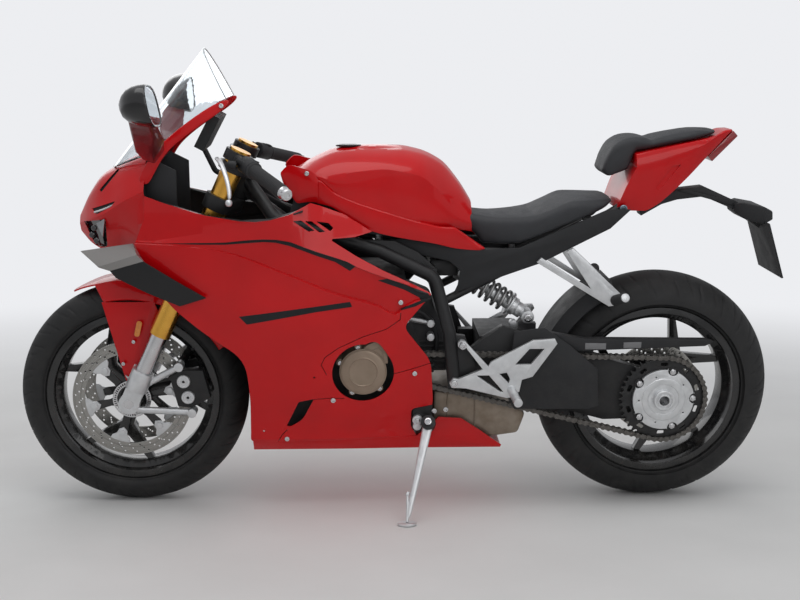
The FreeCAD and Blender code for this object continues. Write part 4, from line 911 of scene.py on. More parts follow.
def front_discs():
    """The drilled tracks, their bosses, the black spiders and the slotted sensor rings."""
    centre, low, high = FRONT_AXLE, 61.5, 66.5
    track = ring_plate("front_disc_tracks", centre, 155, 123, low, high)
    drilled(track, centre, [(130, 2.7, 30, 0), (139, 2.7, 30, 4), (148, 2.7, 30, 8), (134.5, 2.2, 15, 2)],
            low, high)
    softened(track, 0.5)
    spade = plate("spade", [(centre[0] + x, centre[2] + z) for x, z in [(84, 0), (92, 11), (104, 14),
                                                                        (112, 24), (124, 27), (126, 0),
                                                                        (124, -27), (112, -24),
                                                                        (104, -14), (92, -11)]],
                  low + 0.5, high - 0.5)
    boss = rod("boss", (centre[0] + 101, high - 1, centre[2]), (centre[0] + 101, high + 4, centre[2]), 9)
    spades = turned_copies(join("front_disc_spades", softened(spade, 0.8), softened(boss, 1)), 6, centre,
                           first=12)
    arm = plate("arm", [(centre[0] + x, centre[2] + z) for x, z in [(30, 15), (60, 9), (92, 12), (104, 8),
                                                                    (104, -8), (92, -12), (60, -9),
                                                                    (30, -15)]], low - 5, low + 0.4)
    hub = ring_plate("hub_ring", centre, 46, 29, 55, 66)
    arms = turned_copies(softened(arm, 1), 6, centre, first=12)
    spider = join("front_disc_spiders", arms, softened(hub, 1))
    tooth = plate("tooth", [(centre[0] + 41, centre[2] - 1.4), (centre[0] + 47, centre[2] - 1.4),
                            (centre[0] + 47, centre[2] + 1.4), (centre[0] + 41, centre[2] + 1.4)], 68, 74)
    slots = turned_copies(tooth, 48, centre)
    sensor = carve(ring_plate("sensor_rings", centre, 50, 38, 70, 72), slots)
    for piece, kind in ((track, "front_disc_steel"), (spades, "cast_alloy"), (spider, "gloss_black"),
                        (sensor, "bright_steel")):
        park(smooth(both_sides(piece), 30), kind, body="front_wheel")
    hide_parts("front_discs")


front_discs()


def rear_disc():
    """The drilled track and its black centre."""
    low, high = 37.5, 42.5
    track = ring_plate("rear_disc_track", REAR_AXLE, 122, 92, low, high)
    drilled(track, REAR_AXLE, [(99, 2.7, 24, 0), (107, 2.7, 24, 5), (115, 2.7, 24, 10)], low, high)
    softened(track, 0.5)
    centre = turned("rear_disc_centre", [(24, 24.4), (54, 24.4), (54, 36), (94, low + 0.4),
                                         (94, high - 0.4), (50, high), (24, high)], REAR_AXLE)
    softened(centre, 1)
    park(track, "rear_disc_steel", body="rear_wheel")
    park(centre, "gloss_black", body="rear_wheel")
    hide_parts("rear_disc")


rear_disc()


def rear_sprocket():
    """The toothed ring with its windows, and the silver carrier with notches, nuts and hollow axle."""
    teeth, face = REAR_TEETH, CHAIN_Y
    pitch_r = CHAIN_PITCH / 2 / sin(pi / teeth)
    outline = []
    for k in range(teeth):
        for offset, radius in ((-1.5, pitch_r - 5.3), (-0.75, pitch_r - 2.5), (-0.35, pitch_r + 4.2),
                               (0.35, pitch_r + 4.2), (0.75, pitch_r - 2.5), (1.5, pitch_r - 5.3)):
            angle = 2 * pi / teeth * (k + offset / 4)
            outline.append((radius * cos(angle), REAR_R + radius * sin(angle)))
    ring = plate("rear_sprocket_teeth", outline, face - 3.5, face + 3.5)
    centre_hole = rod("centre", (0, face - 9, REAR_R), (0, face + 9, REAR_R), 79, 96)
    window = plate("window", [(87, REAR_R - 9), (97, REAR_R - 10), (98, REAR_R + 10), (87, REAR_R + 9)],
                   face - 9, face + 9)
    windows = turned_copies(softened(window, 3), 10, REAR_AXLE, first=18)
    carve(ring, centre_hole, windows)
    softened(ring, 0.7, 25)
    park(ring, "black_metal", body="rear_wheel")
    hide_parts("rear_sprocket")

    low = face + 3.5
    outline = []
    for k in range(5):
        middle = radians(38 + 72 * k)
        for step in range(25):
            angle = -middle - radians(26) + radians(52) * step / 24 + radians(36)
            outline.append((angle % (2 * pi), 80))
        for step in range(17):
            turn = pi * step / 16
            x, z = 82 - 14.5 * sin(turn), 14.5 * cos(turn)
            outline.append(((-middle + atan2(z, x)) % (2 * pi), hypot(x, z)))
    outline = sorted(outline)
    disc = plate("sprocket_carrier_disc", [(r * cos(a), REAR_R + r * sin(a)) for a, r in outline],
                 low + 0.2, low + 9)
    small = rod("small", (46, low - 3, REAR_R), (46, low + 30, REAR_R), 3.4, 14)
    bore = rod("bore", (0, low - 3, REAR_R), (0, low + 30, REAR_R), 20.2, 48)
    carve(disc, bore, turned_copies(small, 5, REAR_AXLE, first=74), turned_copies(
        rod("small", (64, low - 3, REAR_R), (64, low + 30, REAR_R), 2.2, 12), 5, REAR_AXLE, first=74))
    softened(disc, 1)
    ring = turned("carrier_hub", [(13, low + 1), (27, low + 1), (27, low + 19), (25.5, low + 20.5),
                                  (21, low + 20.5), (20, low + 18), (17, low + 18), (16, low + 21),
                                  (13, low + 21)], REAR_AXLE)
    step = turned("carrier_step", [(40, low + 8), (41, low + 10.4), (56, low + 10.4), (57, low + 8)],
                  REAR_AXLE)
    disc = join("sprocket_carrier_disc", disc, softened(ring, 0.5), softened(step, 0.4))
    seat = rod("seat", (77, low, REAR_R), (77, low + 2.4, REAR_R), 12)
    nut = rod("nut", (77, low + 2.4, REAR_R), (77, low + 9, REAR_R), 8.5, 6)
    stud = rod("stud", (77, low + 8, REAR_R), (77, low + 12, REAR_R), 4.5, 16)
    nuts = turned_copies(join("sprocket_nuts", softened(nut, 0.8), softened(stud, 0.5)), 5, REAR_AXLE,
                         first=38)
    lugs = turned_copies(softened(seat, 0.6), 5, REAR_AXLE, first=38)
    lugs.name = "sprocket_carrier_lugs"
    axle_tube = turned("hollow_axle", [(13, -50), (19.9, -50), (19.9, low + 1), (13, low + 1)], REAR_AXLE)
    axle_nut = turned("axle_nut", [(13, -46.3), (30, -46.3), (32, -44), (32, -26), (30, -24.3),
                                   (13, -24.3)], REAR_AXLE, 6)
    for piece, kind in ((disc, "cast_alloy"), (nuts, "bright_steel"), (lugs, "black_metal"),
                        (axle_tube, "bright_steel"), (axle_nut, "cast_alloy")):
        smooth(piece, 30)
        park(piece, kind, body="rear_wheel")
    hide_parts("sprocket_carrier")


rear_sprocket()


def chain_links():
    """The drive chain: plates in pairs, wide and narrow in turn, with rollers, along one loop."""
    r_rear = CHAIN_PITCH / 2 / sin(pi / REAR_TEETH)
    r_front = CHAIN_PITCH / 2 / sin(pi / FRONT_TEETH)
    front = Vector((640, 0, 400))
    rear = Vector((0, 0, REAR_R))
    run = front - rear
    slope = atan2(run.z, run.x)
    tilt = asin((r_rear - r_front) / run.length)
    up, down = slope + pi / 2 - tilt, slope - pi / 2 + tilt
    straight = run.length * cos(tilt)
    arc_rear = r_rear * (2 * pi - (up - down))
    arc_front = r_front * (up - down)
    total = 2 * straight + arc_rear + arc_front
    count = 2 * round(total / CHAIN_PITCH / 2)

    def at(distance):
        distance = distance % total
        if distance < straight:
            start = rear + r_rear * Vector((cos(up), 0, sin(up)))
            end = front + r_front * Vector((cos(up), 0, sin(up)))
            return start.lerp(end, distance / straight)
        distance -= straight
        if distance < arc_front:
            angle = up - distance / r_front
            return front + r_front * Vector((cos(angle), 0, sin(angle)))
        distance -= arc_front
        if distance < straight:
            start = front + r_front * Vector((cos(down), 0, sin(down)))
            end = rear + r_rear * Vector((cos(down), 0, sin(down)))
            return start.lerp(end, distance / straight)
        distance -= straight
        angle = down - distance / r_rear
        return rear + r_rear * Vector((cos(angle), 0, sin(angle)))

    half = CHAIN_PITCH / 2
    shape = [(-half - 6, -2.5), (-half - 6, 2.5), (-half - 2.5, 6.6), (-half + 2.5, 6.6), (-2, 4.6),
             (2, 4.6), (half - 2.5, 6.6), (half + 2.5, 6.6), (half + 6, 2.5), (half + 6, -2.5),
             (half + 2.5, -6.6), (half - 2.5, -6.6), (2, -4.6), (-2, -4.6), (-half + 2.5, -6.6),
             (-half - 2.5, -6.6)]
    links = []
    patterns = []
    for inner, outer in ((7.6, 9.7), (5.2, 7.3)):
        sides = [plate("side", shape, inner, outer), plate("side", shape, -outer, -inner)]
        pins = []
        if inner > 6:
            pins = [rod("pin", (x, -9.9, 0), (x, 9.9, 0), 2.6, 8) for x in (-half, half)]
        else:
            pins = [rod("roller", (x, -5.2, 0), (x, 5.2, 0), 4.8, 8) for x in (-half, half)]
        patterns.append(join("link", *[settle(piece) for piece in sides + pins]))
    for k in range(count):
        here, ahead = at(total * k / count), at(total * (k + 1) / count)
        middle = (here + ahead) / 2
        copy = copy_of(patterns[k % 2])
        angle = -atan2(ahead.z - here.z, ahead.x - here.x)
        copy.matrix_world = Matrix.Translation(metres((middle.x, CHAIN_Y,
                                                       middle.z))) @ Matrix.Rotation(angle, 4, "Y")
        links.append(settle(copy))
    for pattern in patterns:
        bpy.data.objects.remove(pattern)
    chain = join("chain_links", *links)
    smooth(chain, 30)
    park(chain, "chain_steel")
    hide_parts("chain")


chain_links()

# Side fairings: the lines that run along the left panel, as (x, z) seen from the side
LOWER_LIP = [(555, 600), (604, 596), (640, 592), (674, 575), (702, 557), (742, 578), (851, 612),
             (969, 662), (1119, 716), (1175, 724), (1259, 729), (1345, 729)]
UPPER_LIP = [(555, 606), (604, 604), (640, 612), (667, 629), (719, 648), (796, 679), (818, 691),
             (855, 704), (892, 716), (922, 727), (955, 740), (989, 746), (1059, 745), (1115, 740),
             (1190, 736), (1345, 733)]
SHOULDER = [(555, 900), (860, 868), (912, 832), (983, 800), (1056, 785), (1158, 763), (1260, 744),
            (1311, 736), (1345, 736)]
OUTLET_DEPTH = [(604, 0), (650, 5), (702, 9), (851, 10), (1000, 8), (1119, 3), (1190, 0), (1345, 0)]
FAIRING_BEND = [(1345, -53), (1260, -30), (1180, -14), (1090, -4), (1000, 0), (910, 0), (820, -4),
                (700, -15), (555, -35)]
FAIRING_SIDE = [(150, 118), (200, 137), (290, 172), (380, 193), (470, 205), (560, 211), (640, 211),
                (700, 208), (780, 201), (890, 183)]

THROUGH = (60, 300)  # cutters reach from inside the left panel to outside it


def fairing_skin(name, proud, thickness):
    """A sheet that follows the panel's creases, standing proud of it by a distance."""
    rings = []
    for x in stations(1345, 555, 130):
        low, high = curve_through(LOWER_LIP, x), curve_through(UPPER_LIP, x)
        high = max(high, low + 4)
        shoulder = max(curve_through(SHOULDER, x), high + 3)
        depth = curve_through(OUTLET_DEPTH, x)
        rows = [(150 + (212 - 150) * k / 4, 0.0) for k in range(5)]
        rows[-1] = (212, 3.0)
        rows += [(236, -3.0)] + [(mixed(236, low - 60, k / 12), -3.0 * (1 - k / 12))
                                 for k in range(1, 12)]
        rows += [(low - 60, 0.0), (low - 30, 0.6), (low - 8, 1.6), (low, 1.8)]
        rows += [(low + 1.6, -depth), (mixed(low, high, 0.5), -depth * 0.8), (high - 1.4, -depth * 0.45),
                 (high, 1.0)]
        rows += [(mixed(high, shoulder, 0.5), -1.2), (shoulder, -4.0)]
        rows += [(mixed(shoulder, 905, k / 6), -4.0 + 5.0 * k / 6) for k in range(1, 7)]
        bend = curve_through(FAIRING_BEND, x)
        tuck = curve_through([(880, 0.42), (960, 0.0)], x)
        rings.append([(x, curve_through(FAIRING_SIDE, z) + bend + step
                       + proud - tuck * max(0, z - high - 22), z) for z, step in rows])
    sheet = lofted(name, rings, closed=False)
    return red_panel(sheet, thickness)


FAIRING_OUTLINE = eased([(1316, 846), (1269, 831), (1163, 803), (1078, 790), (1040, 789), (1006, 793),
                         (960, 806), (908, 831), (826, 802), (757, 759), (800, 748, 4), (856, 746, 4),
                         (855, 741), (795, 703), (731, 668), (667, 637), (608, 606, 6), (679, 523, 20),
                         (608, 429, 24), (600, 314, 8), (602, 303), (656, 294, 12), (656, 240, 12),
                         (640, 211), (1071, 202.5, 14), (1065, 337, 45), (1075, 442, 45), (1172, 507, 40),
                         (1267, 584, 40), (1310, 672), (1330, 700), (1343, 728), (1334, 750),
                         (1318, 790)])


def side_fairing():
    """Both side panels with their openings, vents and seams, and the dark stripes on them."""
    panel = fairing_skin("side_fairing_left_panel", 0, 3)
    opening = rod("opening", (780, 60, 402), (780, 300, 402), 78, 72)
    bulge = plate("bulge", eased([(836, 445, 10), (748, 494, 26), (704, 430, 30), (710, 385, 20),
                                  (780, 340, 10)]), *THROUGH)
    slot = plate("slot", eased([(944, 324, 4), (905, 332, 4), (936, 270, 14), (967, 250, 5),
                                (977, 252, 4)]), *THROUGH)
    vents = [plate("vent", eased([(*corner, 2) for corner in corners]), *THROUGH)
             for corners in ([(950, 791), (930, 792), (898, 767), (912, 765)], [(921, 790), (905, 789),
                                                                                (872, 763), (886, 762)],
                             [(894, 788), (864, 783), (852, 771), (860, 764)])]
    seams = [[(686, 560), (687, 543), (721, 519), (781, 500), (843, 471), (876, 447), (885, 427),
              (872, 400)], [(590, 428), (655, 409), (711, 395)], [(828, 332), (863, 334), (906, 331)],
             [(975, 240), (990, 224), (1000, 205)]]
    gaps = [plate("gap", line_cut(seam, 1.7), *THROUGH) for seam in seams]
    holes = [rod("hole", (x, 60, z), (x, 300, z), 2.6, 12) for x, z in ((903, 393), (1036, 236))]
    carve(panel, plate("outline", FAIRING_OUTLINE, *THROUGH), how="INTERSECT", folded=True)
    carve(panel, opening, bulge, slot, *vents, *gaps, *holes, folded=True)
    smooth(panel, 14)
    right = mirrored(panel, "side_fairing_right_panel")
    for piece, node in ((panel, "side_fairing_left"), (right, "side_fairing_right")):
        park(piece, None)
        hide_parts(node)

    sweep = [(1259, 733), (1190, 737), (1115, 739), (1059, 746), (1022, 748), (989, 747), (955, 741),
             (922, 728), (892, 717), (855, 705), (818, 692), (797, 680), (812, 668), (848, 691),
             (892, 706), (929, 720), (959, 731), (992, 739), (1022, 741), (1115, 734), (1190, 733)]
    bracket = [(743, 643), (720, 647), (667, 628), (618, 608), (610, 597), (612, 592), (651, 575),
               (690, 566), (674, 576), (636, 590), (640, 597), (678, 618), (728, 637)]
    bar = [(1086, 555), (894, 581), (812, 592), (807, 579), (894, 567), (1067, 535)]
    bands = fairing_skin("fairing_stripes", 0.35, 1.2)
    carve(bands, join("bands", *[plate("band", outline, *THROUGH) for outline in (sweep, bracket, bar)]),
          how="INTERSECT")
    smooth(bands, 30)
    park(both_sides(bands), "stripe")


side_fairing()


def fairing_fasteners():
    """The screws that hold the panels."""
    wells = []
    for x, z in ((686, 586), (649, 397), (856, 329), (977, 213)):
        face = curve_through(FAIRING_SIDE, z) + curve_through(FAIRING_BEND, x)
        if z > 560:
            face -= 5
        wells.append((x, face + 0.2, z))
    park(both_sides(screws("fairing_screws", wells, 6.5)), "bright_steel")


fairing_fasteners()


def bronze_cover():
    """The round cover in the left opening: a stepped face with a ring, a lobe and five screws in lugs."""
    centre = (780, 0, 402)
    face = turned("generator_cover", [(0, 116), (60, 116), (60, 172), (57, 178), (50, 180.5), (39, 181),
                                      (37.5, 182.2), (36, 182.2), (34.5, 180), (0, 180)], centre, 120)
    lobe = plate("lobe", eased([(716, 420, 8), (718, 452, 16), (742, 486, 20), (776, 468, 10),
                                (790, 440, 4)]), 116, 174)
    softened(lobe, 3.5)
    lugs = []
    places = []
    for angle in (20, 78, 133, 228, 296):
        x, z = centre[0] + 63 * cos(radians(angle)), centre[2] + 63 * sin(radians(angle))
        places.append((x, z))
        lugs.append(softened(rod("lug", (x, 116, z), (x, 166, z), 9, 24), 1.5))
    cover = join("generator_cover", softened(face, 1.2, 20), lobe, *lugs)
    park(smooth(both_sides(cover), 30), "bronze_cover")
    rib = plate("lobe_rib", line_cut([(729, 434), (731, 452), (742, 464), (752, 458), (756, 446)], 3),
                173.6, 175)
    park(softened(rib, 0.5), "bronze_cover")
    park(both_sides(screws("cover_screws", [(x, 166, z) for x, z in places], 6)), "bright_steel")
    backing = plate("cover_backing", eased([(690, 320, 30), (690, 490, 30), (860, 490, 40),
                                            (990, 330, 10), (990, 236, 10), (900, 236, 10)]), 113, 115)
    softened(backing, 0.5)
    park(both_sides(backing), "engine_grey")


bronze_cover()


# Tank
TANK_TOP = [(487, 797), (533, 870), (579, 921), (635, 947), (690, 956.5), (746, 957), (797, 956),
            (845, 950), (901, 927), (948, 898)]
TANK_SEAM = [(487, 752), (544, 763), (569, 764), (641, 781), (713, 803), (798, 831), (847, 853),
             (893, 886), (948, 890)]
TANK_CREASE = [(487, 770), (540, 800), (600, 868), (631, 893), (666, 905), (727, 914), (797, 908),
               (879, 895), (948, 893)]
TANK_HALF = [(487, 62), (540, 88), (605, 116), (660, 134), (708, 141), (824, 141), (880, 130), (905, 118),
             (948, 88)]


def tank():
    """The tank with its creases, the red covers on its sides and its cap."""
    rings = []
    for x in stations(948, 500, 96):
        top, seam = curve_through(TANK_TOP, x), curve_through(TANK_SEAM, x)
        crease, half = curve_through(TANK_CREASE, x), curve_through(TANK_HALF, x)
        crease = min(max(crease, seam + 2), top - 3)
        rise = top - crease
        hollow = 5 * max(0, 1 - abs(x - 755) / 80)
        side = [(0.55 * half, seam - 14), (0.97 * half, seam - 12), (half, seam - 4),
                (half + 1.5, mixed(seam, crease, 0.3)), (half + 1, mixed(seam, crease, 0.6)),
                (half * 0.975, crease - 4), (half * 0.955, crease), (half * 0.90, crease + 0.16 * rise),
                (half * 0.80, crease + 0.40 * rise), (half * 0.66, crease + 0.64 * rise),
                (half * 0.50, crease + 0.83 * rise), (half * 0.42, crease + 0.90 * rise),
                (half * 0.36, crease + 0.925 * rise - hollow),
                (half * 0.24, crease + 0.955 * rise - hollow * 0.7), (half * 0.18, crease + 0.98 * rise),
                (0, top)]
        rings.append([(x, y, z) for y, z in side] + [(x, -y, z) for y, z in side[-2::-1]])
    body = lofted("tank_body", rings)
    smooth(body, 24)
    rows = []
    for x in stations(950, 471, 96):
        seam = curve_through(TANK_SEAM + [(471, 708)] if x < 548 else TANK_SEAM, x)
        if x < 548:
            seam = mixed(763, 709, (548 - x) / 77)
        low = curve_through([(471, 705), (486, 702), (533, 706), (605, 724), (713, 745), (755, 756),
                             (826, 798), (860, 818), (907, 828), (950, 840)], x)
        out = curve_through([(471, 113.5), (520, 116), (560, 124), (605, 134), (660, 142), (713, 145),
                             (824, 145), (880, 136), (907, 124), (950, 92)], x)
        seam = max(seam - 1.6, low + 3)
        rows.append([(x, out - 9, low), (x, out - 1, low + 0.6), (x, out + 0.8, mixed(low, seam, 0.35)),
                     (x, out + 0.6, mixed(low, seam, 0.7)), (x, out - 0.6, seam - 2),
                     (x, out - 2.6, seam), (x, out - 16, seam + 0.4)])
    side = lofted("tank_side_cover", rows, closed=False)
    red_panel(side, 2.5)
    smooth(side, 30)
    right = mirrored(side, "tank_side_cover_right")
    floor = tank_base()
    cap = turned("tank_cap", [(0, -3), (31, -3), (33, -1.5), (33, 1), (31, 2.6), (25, 3), (24, 2.2),
                              (0, 2.2)], (0, 0, 0), 72)
    cap.matrix_world = Matrix.Translation(metres((815, 0, 956))) @ Matrix.Rotation(radians(94), 4, "X")
    settle(cap)
    park(smooth(cap, 30), "gloss_black")
    park(body, "red_paint")
    for piece in (side, right):
        park(piece, None)
    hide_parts("fuel_tank")
    park(floor, "black_plastic")


def tank_base():
    """The dark wall between the side covers, under the tank."""
    rings = []
    for x in (944, 905, 824, 708, 605, 522):
        low = curve_through([(520, 748), (605, 742), (708, 740), (824, 754), (905, 824), (948, 840)], x)
        seam = curve_through(TANK_SEAM, x)
        half = curve_through(TANK_HALF, x) * 0.86
        seam = max(seam, low + 6)
        rings.append([(x, -half, low), (x, half, low), (x, half, seam - 6), (x, -half, seam - 6)])
    return smooth(lofted("tank_base", rings), 30)


def tank_wings():
    """The side covers' pointed front ends, each with a screw."""
    high = [(890, 884), (905, 904), (930, 912), (958, 919), (970, 912), (982, 898)]
    low = [(890, 828), (910, 829), (940, 825), (958, 846), (975, 872), (982, 896)]
    out = [(890, 134), (930, 128), (982, 108)]
    rows = []
    for x in stations(982, 890, 20):
        top, under, y = curve_through(high, x), curve_through(low, x), curve_through(out, x)
        rows.append([(x, y - 3 * abs(2 * j / 6 - 1) ** 3, mixed(under, top, j / 6)) for j in range(7)])
    wing = lofted("tank_wings", rows, closed=False)
    modify(wing, "SOLIDIFY", thickness=0.004, offset=0)
    park(smooth(both_sides(wing), 35), "red_paint")
    park(both_sides(screws("tank_screws", [(917, 133, 900)], 6)), "bright_steel")


def engine_parts():
    """What shows between the fairing and the frame: a ribbed cylinder head, hoses and silver fittings."""
    block = plate("cylinder_head", eased([(560, 380, 8), (560, 470, 10), (600, 560, 10), (700, 600, 10),
                                          (880, 600), (880, 380)]), -96, 96)
    ribs = [plate("rib", [(556, z), (556, z + 5), (700, z + 5), (700, z)], -99, 99)
            for z in range(392, 470, 13)]
    under = plate("under", eased([(860, 760, 6), (860, 845, 6), (905, 862, 6), (950, 836, 6),
                                  (962, 800, 6)]), -104, 104)
    block = join("cylinder_head", softened(block, 3), softened(under, 3),
                 *[softened(rib, 1) for rib in ribs])
    park(smooth(block, 30), "engine_grey")
    lines = [hose("hose", [(676, 110, 540), (640, 116, 552), (602, 118, 520), (584, 114, 470),
                           (596, 108, 420)], 6),
             hose("hose", [(700, 104, 470), (650, 108, 452), (612, 110, 424), (590, 106, 392)], 5)]
    pipes = join("engine_hoses", *lines)
    park(smooth(both_sides(pipes), 50), "black_plastic")
    metal = [rod("fitting", (671, 104, 523), (608, 112, 514), 7, 20)]
    for x, z in ((671, 523), (606, 513), (606, 477)):
        metal.append(softened(rod("fitting", (x, 96, z), (x, 124, z), 10, 24), 1))
    fittings = join("engine_fittings", *metal)
    park(smooth(both_sides(fittings), 30), "cast_alloy")


tank()
tank_wings()
engine_parts()


# Seats
def rounded_ring(x, half, low, high, edge, crown):
    """A cushion's section: a domed top, rounded edges and sides that draw in below."""
    side = []
    for k in range(7):
        side.append((half * (k / 6.5) * 0.9, high + crown * (1 - (k / 6.5) ** 2)))
    for k in range(1, 6):
        angle = radians(90 - 90 * k / 5)
        side.append((half - edge + edge * cos(angle), high - edge + edge * sin(angle)))
    side.append((half - 1, mixed(low, high, 0.35)))
    side.append((half - 5, low + 4))
    side.append((half - 9, low))
    return [(x, y, z) for y, z in side] + [(x, -y, z) for y, z in side[:0:-1]]


def upholstered(piece, pinned, voxel, pressure, cap):
    """Remeshes a pad, lets air pressure swell it between its pinned seams, and smooths it."""
    settle(piece)
    modify(piece, "REMESH", mode="VOXEL", voxel_size=voxel, use_smooth_shade=True)
    frames = 20
    held = piece.vertex_groups.new(name="held")
    for vertex in piece.data.vertices:
        held.add([vertex.index], pinned(vertex.co * 1000), "REPLACE")
    before = [vertex.co.copy() for vertex in piece.data.vertices]
    cloth = piece.modifiers.new("Cloth", "CLOTH")
    cloth.settings.quality = 6
    cloth.settings.mass = 0.3
    cloth.settings.tension_stiffness = 18
    cloth.settings.compression_stiffness = 18
    cloth.settings.bending_stiffness = 2
    cloth.settings.vertex_group_mass = "held"
    cloth.settings.use_pressure = True
    cloth.settings.uniform_pressure_force = pressure
    cloth.settings.effector_weights.gravity = 0
    cloth.point_cache.frame_start = 1
    cloth.point_cache.frame_end = frames
    for step in range(1, frames + 1):
        bpy.context.scene.frame_set(step)
    only(piece)
    bpy.ops.object.modifier_apply(modifier=cloth.name)
    bpy.context.scene.frame_set(1)
    for vertex, start in zip(piece.data.vertices, before):
        moved = vertex.co - start
        if moved.length > cap / 1000:
            vertex.co = start + moved.normalized() * cap / 1000
    modify(piece, "SMOOTH", factor=0.5, iterations=3)
    modify(piece, "SUBSURF", levels=1, render_levels=1)
    only(piece)
    bpy.ops.object.shade_smooth()
    return piece


def rider_seat():
    """The rider's pad, pinned along its base and along the seam near its edge."""
    top = [(141, 829), (170, 828), (245, 827), (300, 806), (344, 789), (390, 783), (440, 781), (490, 786),
           (517, 794)]
    low = [(141, 824), (160, 809), (186, 797), (240, 778), (300, 752), (345, 732), (388, 716), (430, 713),
           (469, 713), (498, 743), (517, 748)]
    half = [(141, 78), (160, 96), (200, 112), (245, 121), (300, 118), (360, 110), (420, 94), (470, 80),
            (517, 66)]
    rings = []
    for x in stations(517, 141, 60):
        z0, z1, w = curve_through(low, x), curve_through(top, x), curve_through(half, x)
        rings.append(rounded_ring(x, w, z0, z1, min(18, 0.7 * (z1 - z0) + 1), 2.0))
    pad = lofted("rider_seat_pad", rings)

    def held(co):
        if co.z < curve_through(low, co.x) + 9 or co.x > 508:
            return 1.0
        near_seam = abs(abs(co.y) - (curve_through(half, co.x) - 16)) < 4
        return 0.75 if near_seam and co.z > curve_through(top, co.x) - 10 else 0.0

    upholstered(pad, held, 0.005, 4.0, 5)
    park(pad, "seat_cover")
    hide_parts("rider_seat")


rider_seat()


def passenger_seat():
    """The passenger's pad, pinned along its base and across the fold in its front."""
    rings = []
    top = [(-126, 999), (-83, 1000), (-33, 993), (25, 982), (45, 976), (60, 982), (80, 984), (101, 982),
           (135, 966), (158, 930), (167, 900)]
    low = [(-126, 989), (-60, 976), (0, 964.5), (60, 952.5), (87, 947.5), (96, 922), (104, 903),
           (130, 891), (150, 883), (167, 896)]
    half = [(-126, 34), (-100, 50), (-60, 62), (0, 68), (60, 72), (110, 72), (150, 64), (167, 54)]
    for x in stations(167, -126, 60):
        z0, z1, w = curve_through(low, x), curve_through(top, x), curve_through(half, x)
        rings.append(rounded_ring(x, w, z0, max(z1, z0 + 4), min(14, 0.6 * max(z1 - z0, 4)), 1.5))
    pad = lofted("passenger_seat_pad", rings)

    def held(co):
        if co.z < curve_through(low, co.x) + 7:
            return 1.0
        return 0.9 if abs(co.x - 45) < 4 else 0.0

    upholstered(pad, held, 0.0045, 4.0, 5)
    park(pad, "seat_cover")
    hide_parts("passenger_seat")


passenger_seat()


# Nose, screen and mirrors
NOSE = {"half": [(1316, 150), (1360, 139), (1400, 120), (1440, 96), (1475, 62), (1505, 20)],
        "low": [(1316, 663), (1360, 668), (1400, 677), (1440, 690), (1475, 708), (1505, 737)],
        "crease": [(1316, 858), (1377, 826), (1416, 800), (1467, 776), (1505, 758)],
        "high": [(1316, 946), (1360, 929), (1400, 908), (1440, 884), (1475, 838), (1505, 780)]}


def nose_ring(x, inset=0.0):
    """The nose's section at one station, drawn in by an inset for its inner faces."""
    half = curve_through(NOSE["half"], x) - inset
    low, high = curve_through(NOSE["low"], x) + inset, curve_through(NOSE["high"], x) - inset
    crease = curve_through(NOSE["crease"], x)
    meet = max(0, min(1, (1395 - x) / 79)) ** 2
    side = [(0, low), (0.28, low)]
    for share, rise in ((0.44, 0.01), (0.60, 0.25), (0.78, 0.6), (0.95, 0.92)):
        z = mixed(low, crease, rise)
        side.append((mixed(share, (curve_through(FAIRING_SIDE, z) - 48 - inset) / half, meet), z))
    side += [(1.0, crease), (0.985, mixed(crease, high, 0.05)), (0.89, mixed(crease, high, 0.26)),
             (0.78, mixed(crease, high, 0.5)), (0.68, mixed(crease, high, 0.7)),
             (0.57, mixed(crease, high, 0.84)), (0.40, mixed(crease, high, 0.93)),
             (0.20, mixed(crease, high, 0.985)), (0, high)]
    points = [(x, y * half, z) for y, z in side]
    return points + [(x, -y * half, z) for y, z in side[-2:0:-1]]


def nose():
    """The hollow nose with its lamp openings and slots, and the dark liner inside it."""
    shell = lofted("nose_shell", [nose_ring(x) for x in stations(1316, 1505, 44)])
    hollow = lofted("hollow", [nose_ring(min(1310 + 190 * k / 30, 1500), 3.2) for k in range(30)])
    carve(shell, hollow)
    lamp = plate("lamp_gap", eased([(1488, 768), (1464, 702, 6), (1430, 702, 10), (1423, 781, 5)]), 22,
                 165)
    both_sides(lamp)
    slots = [plate("slot", eased([(1440, 850), (1393, 903, 2), (1388, 900, 3), (1434, 846, 3)]), 30, 165),
             plate("slot", eased([(1461, 803), (1392, 829, 2), (1405, 814, 3), (1446, 792, 6)]), 60, 165)]
    for slot in slots:
        both_sides(slot)
    gap = plate("gap", line_cut([(1424, 700), (1372, 694), (1318, 690)], 1.6), 60, 200)
    both_sides(gap)
    carve(shell, lamp, *slots, gap)
    smooth(shell, 22)
    park(shell, "red_paint")
    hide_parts("nose_cowl")
    liner = lofted("nose_liner", [nose_ring(min(1318 + 182 * k / 20, 1499), 4.5) for k in range(19)])
    back = lofted("back", [nose_ring(min(1300 + 190 * k / 20, 1492), 6.5) for k in range(19)])
    carve(liner, back, plate("lamp_gap", [(1492, 770), (1462, 700), (1426, 700), (1420, 784)], -165, 165))
    park(smooth(liner, 30), "black_plastic")


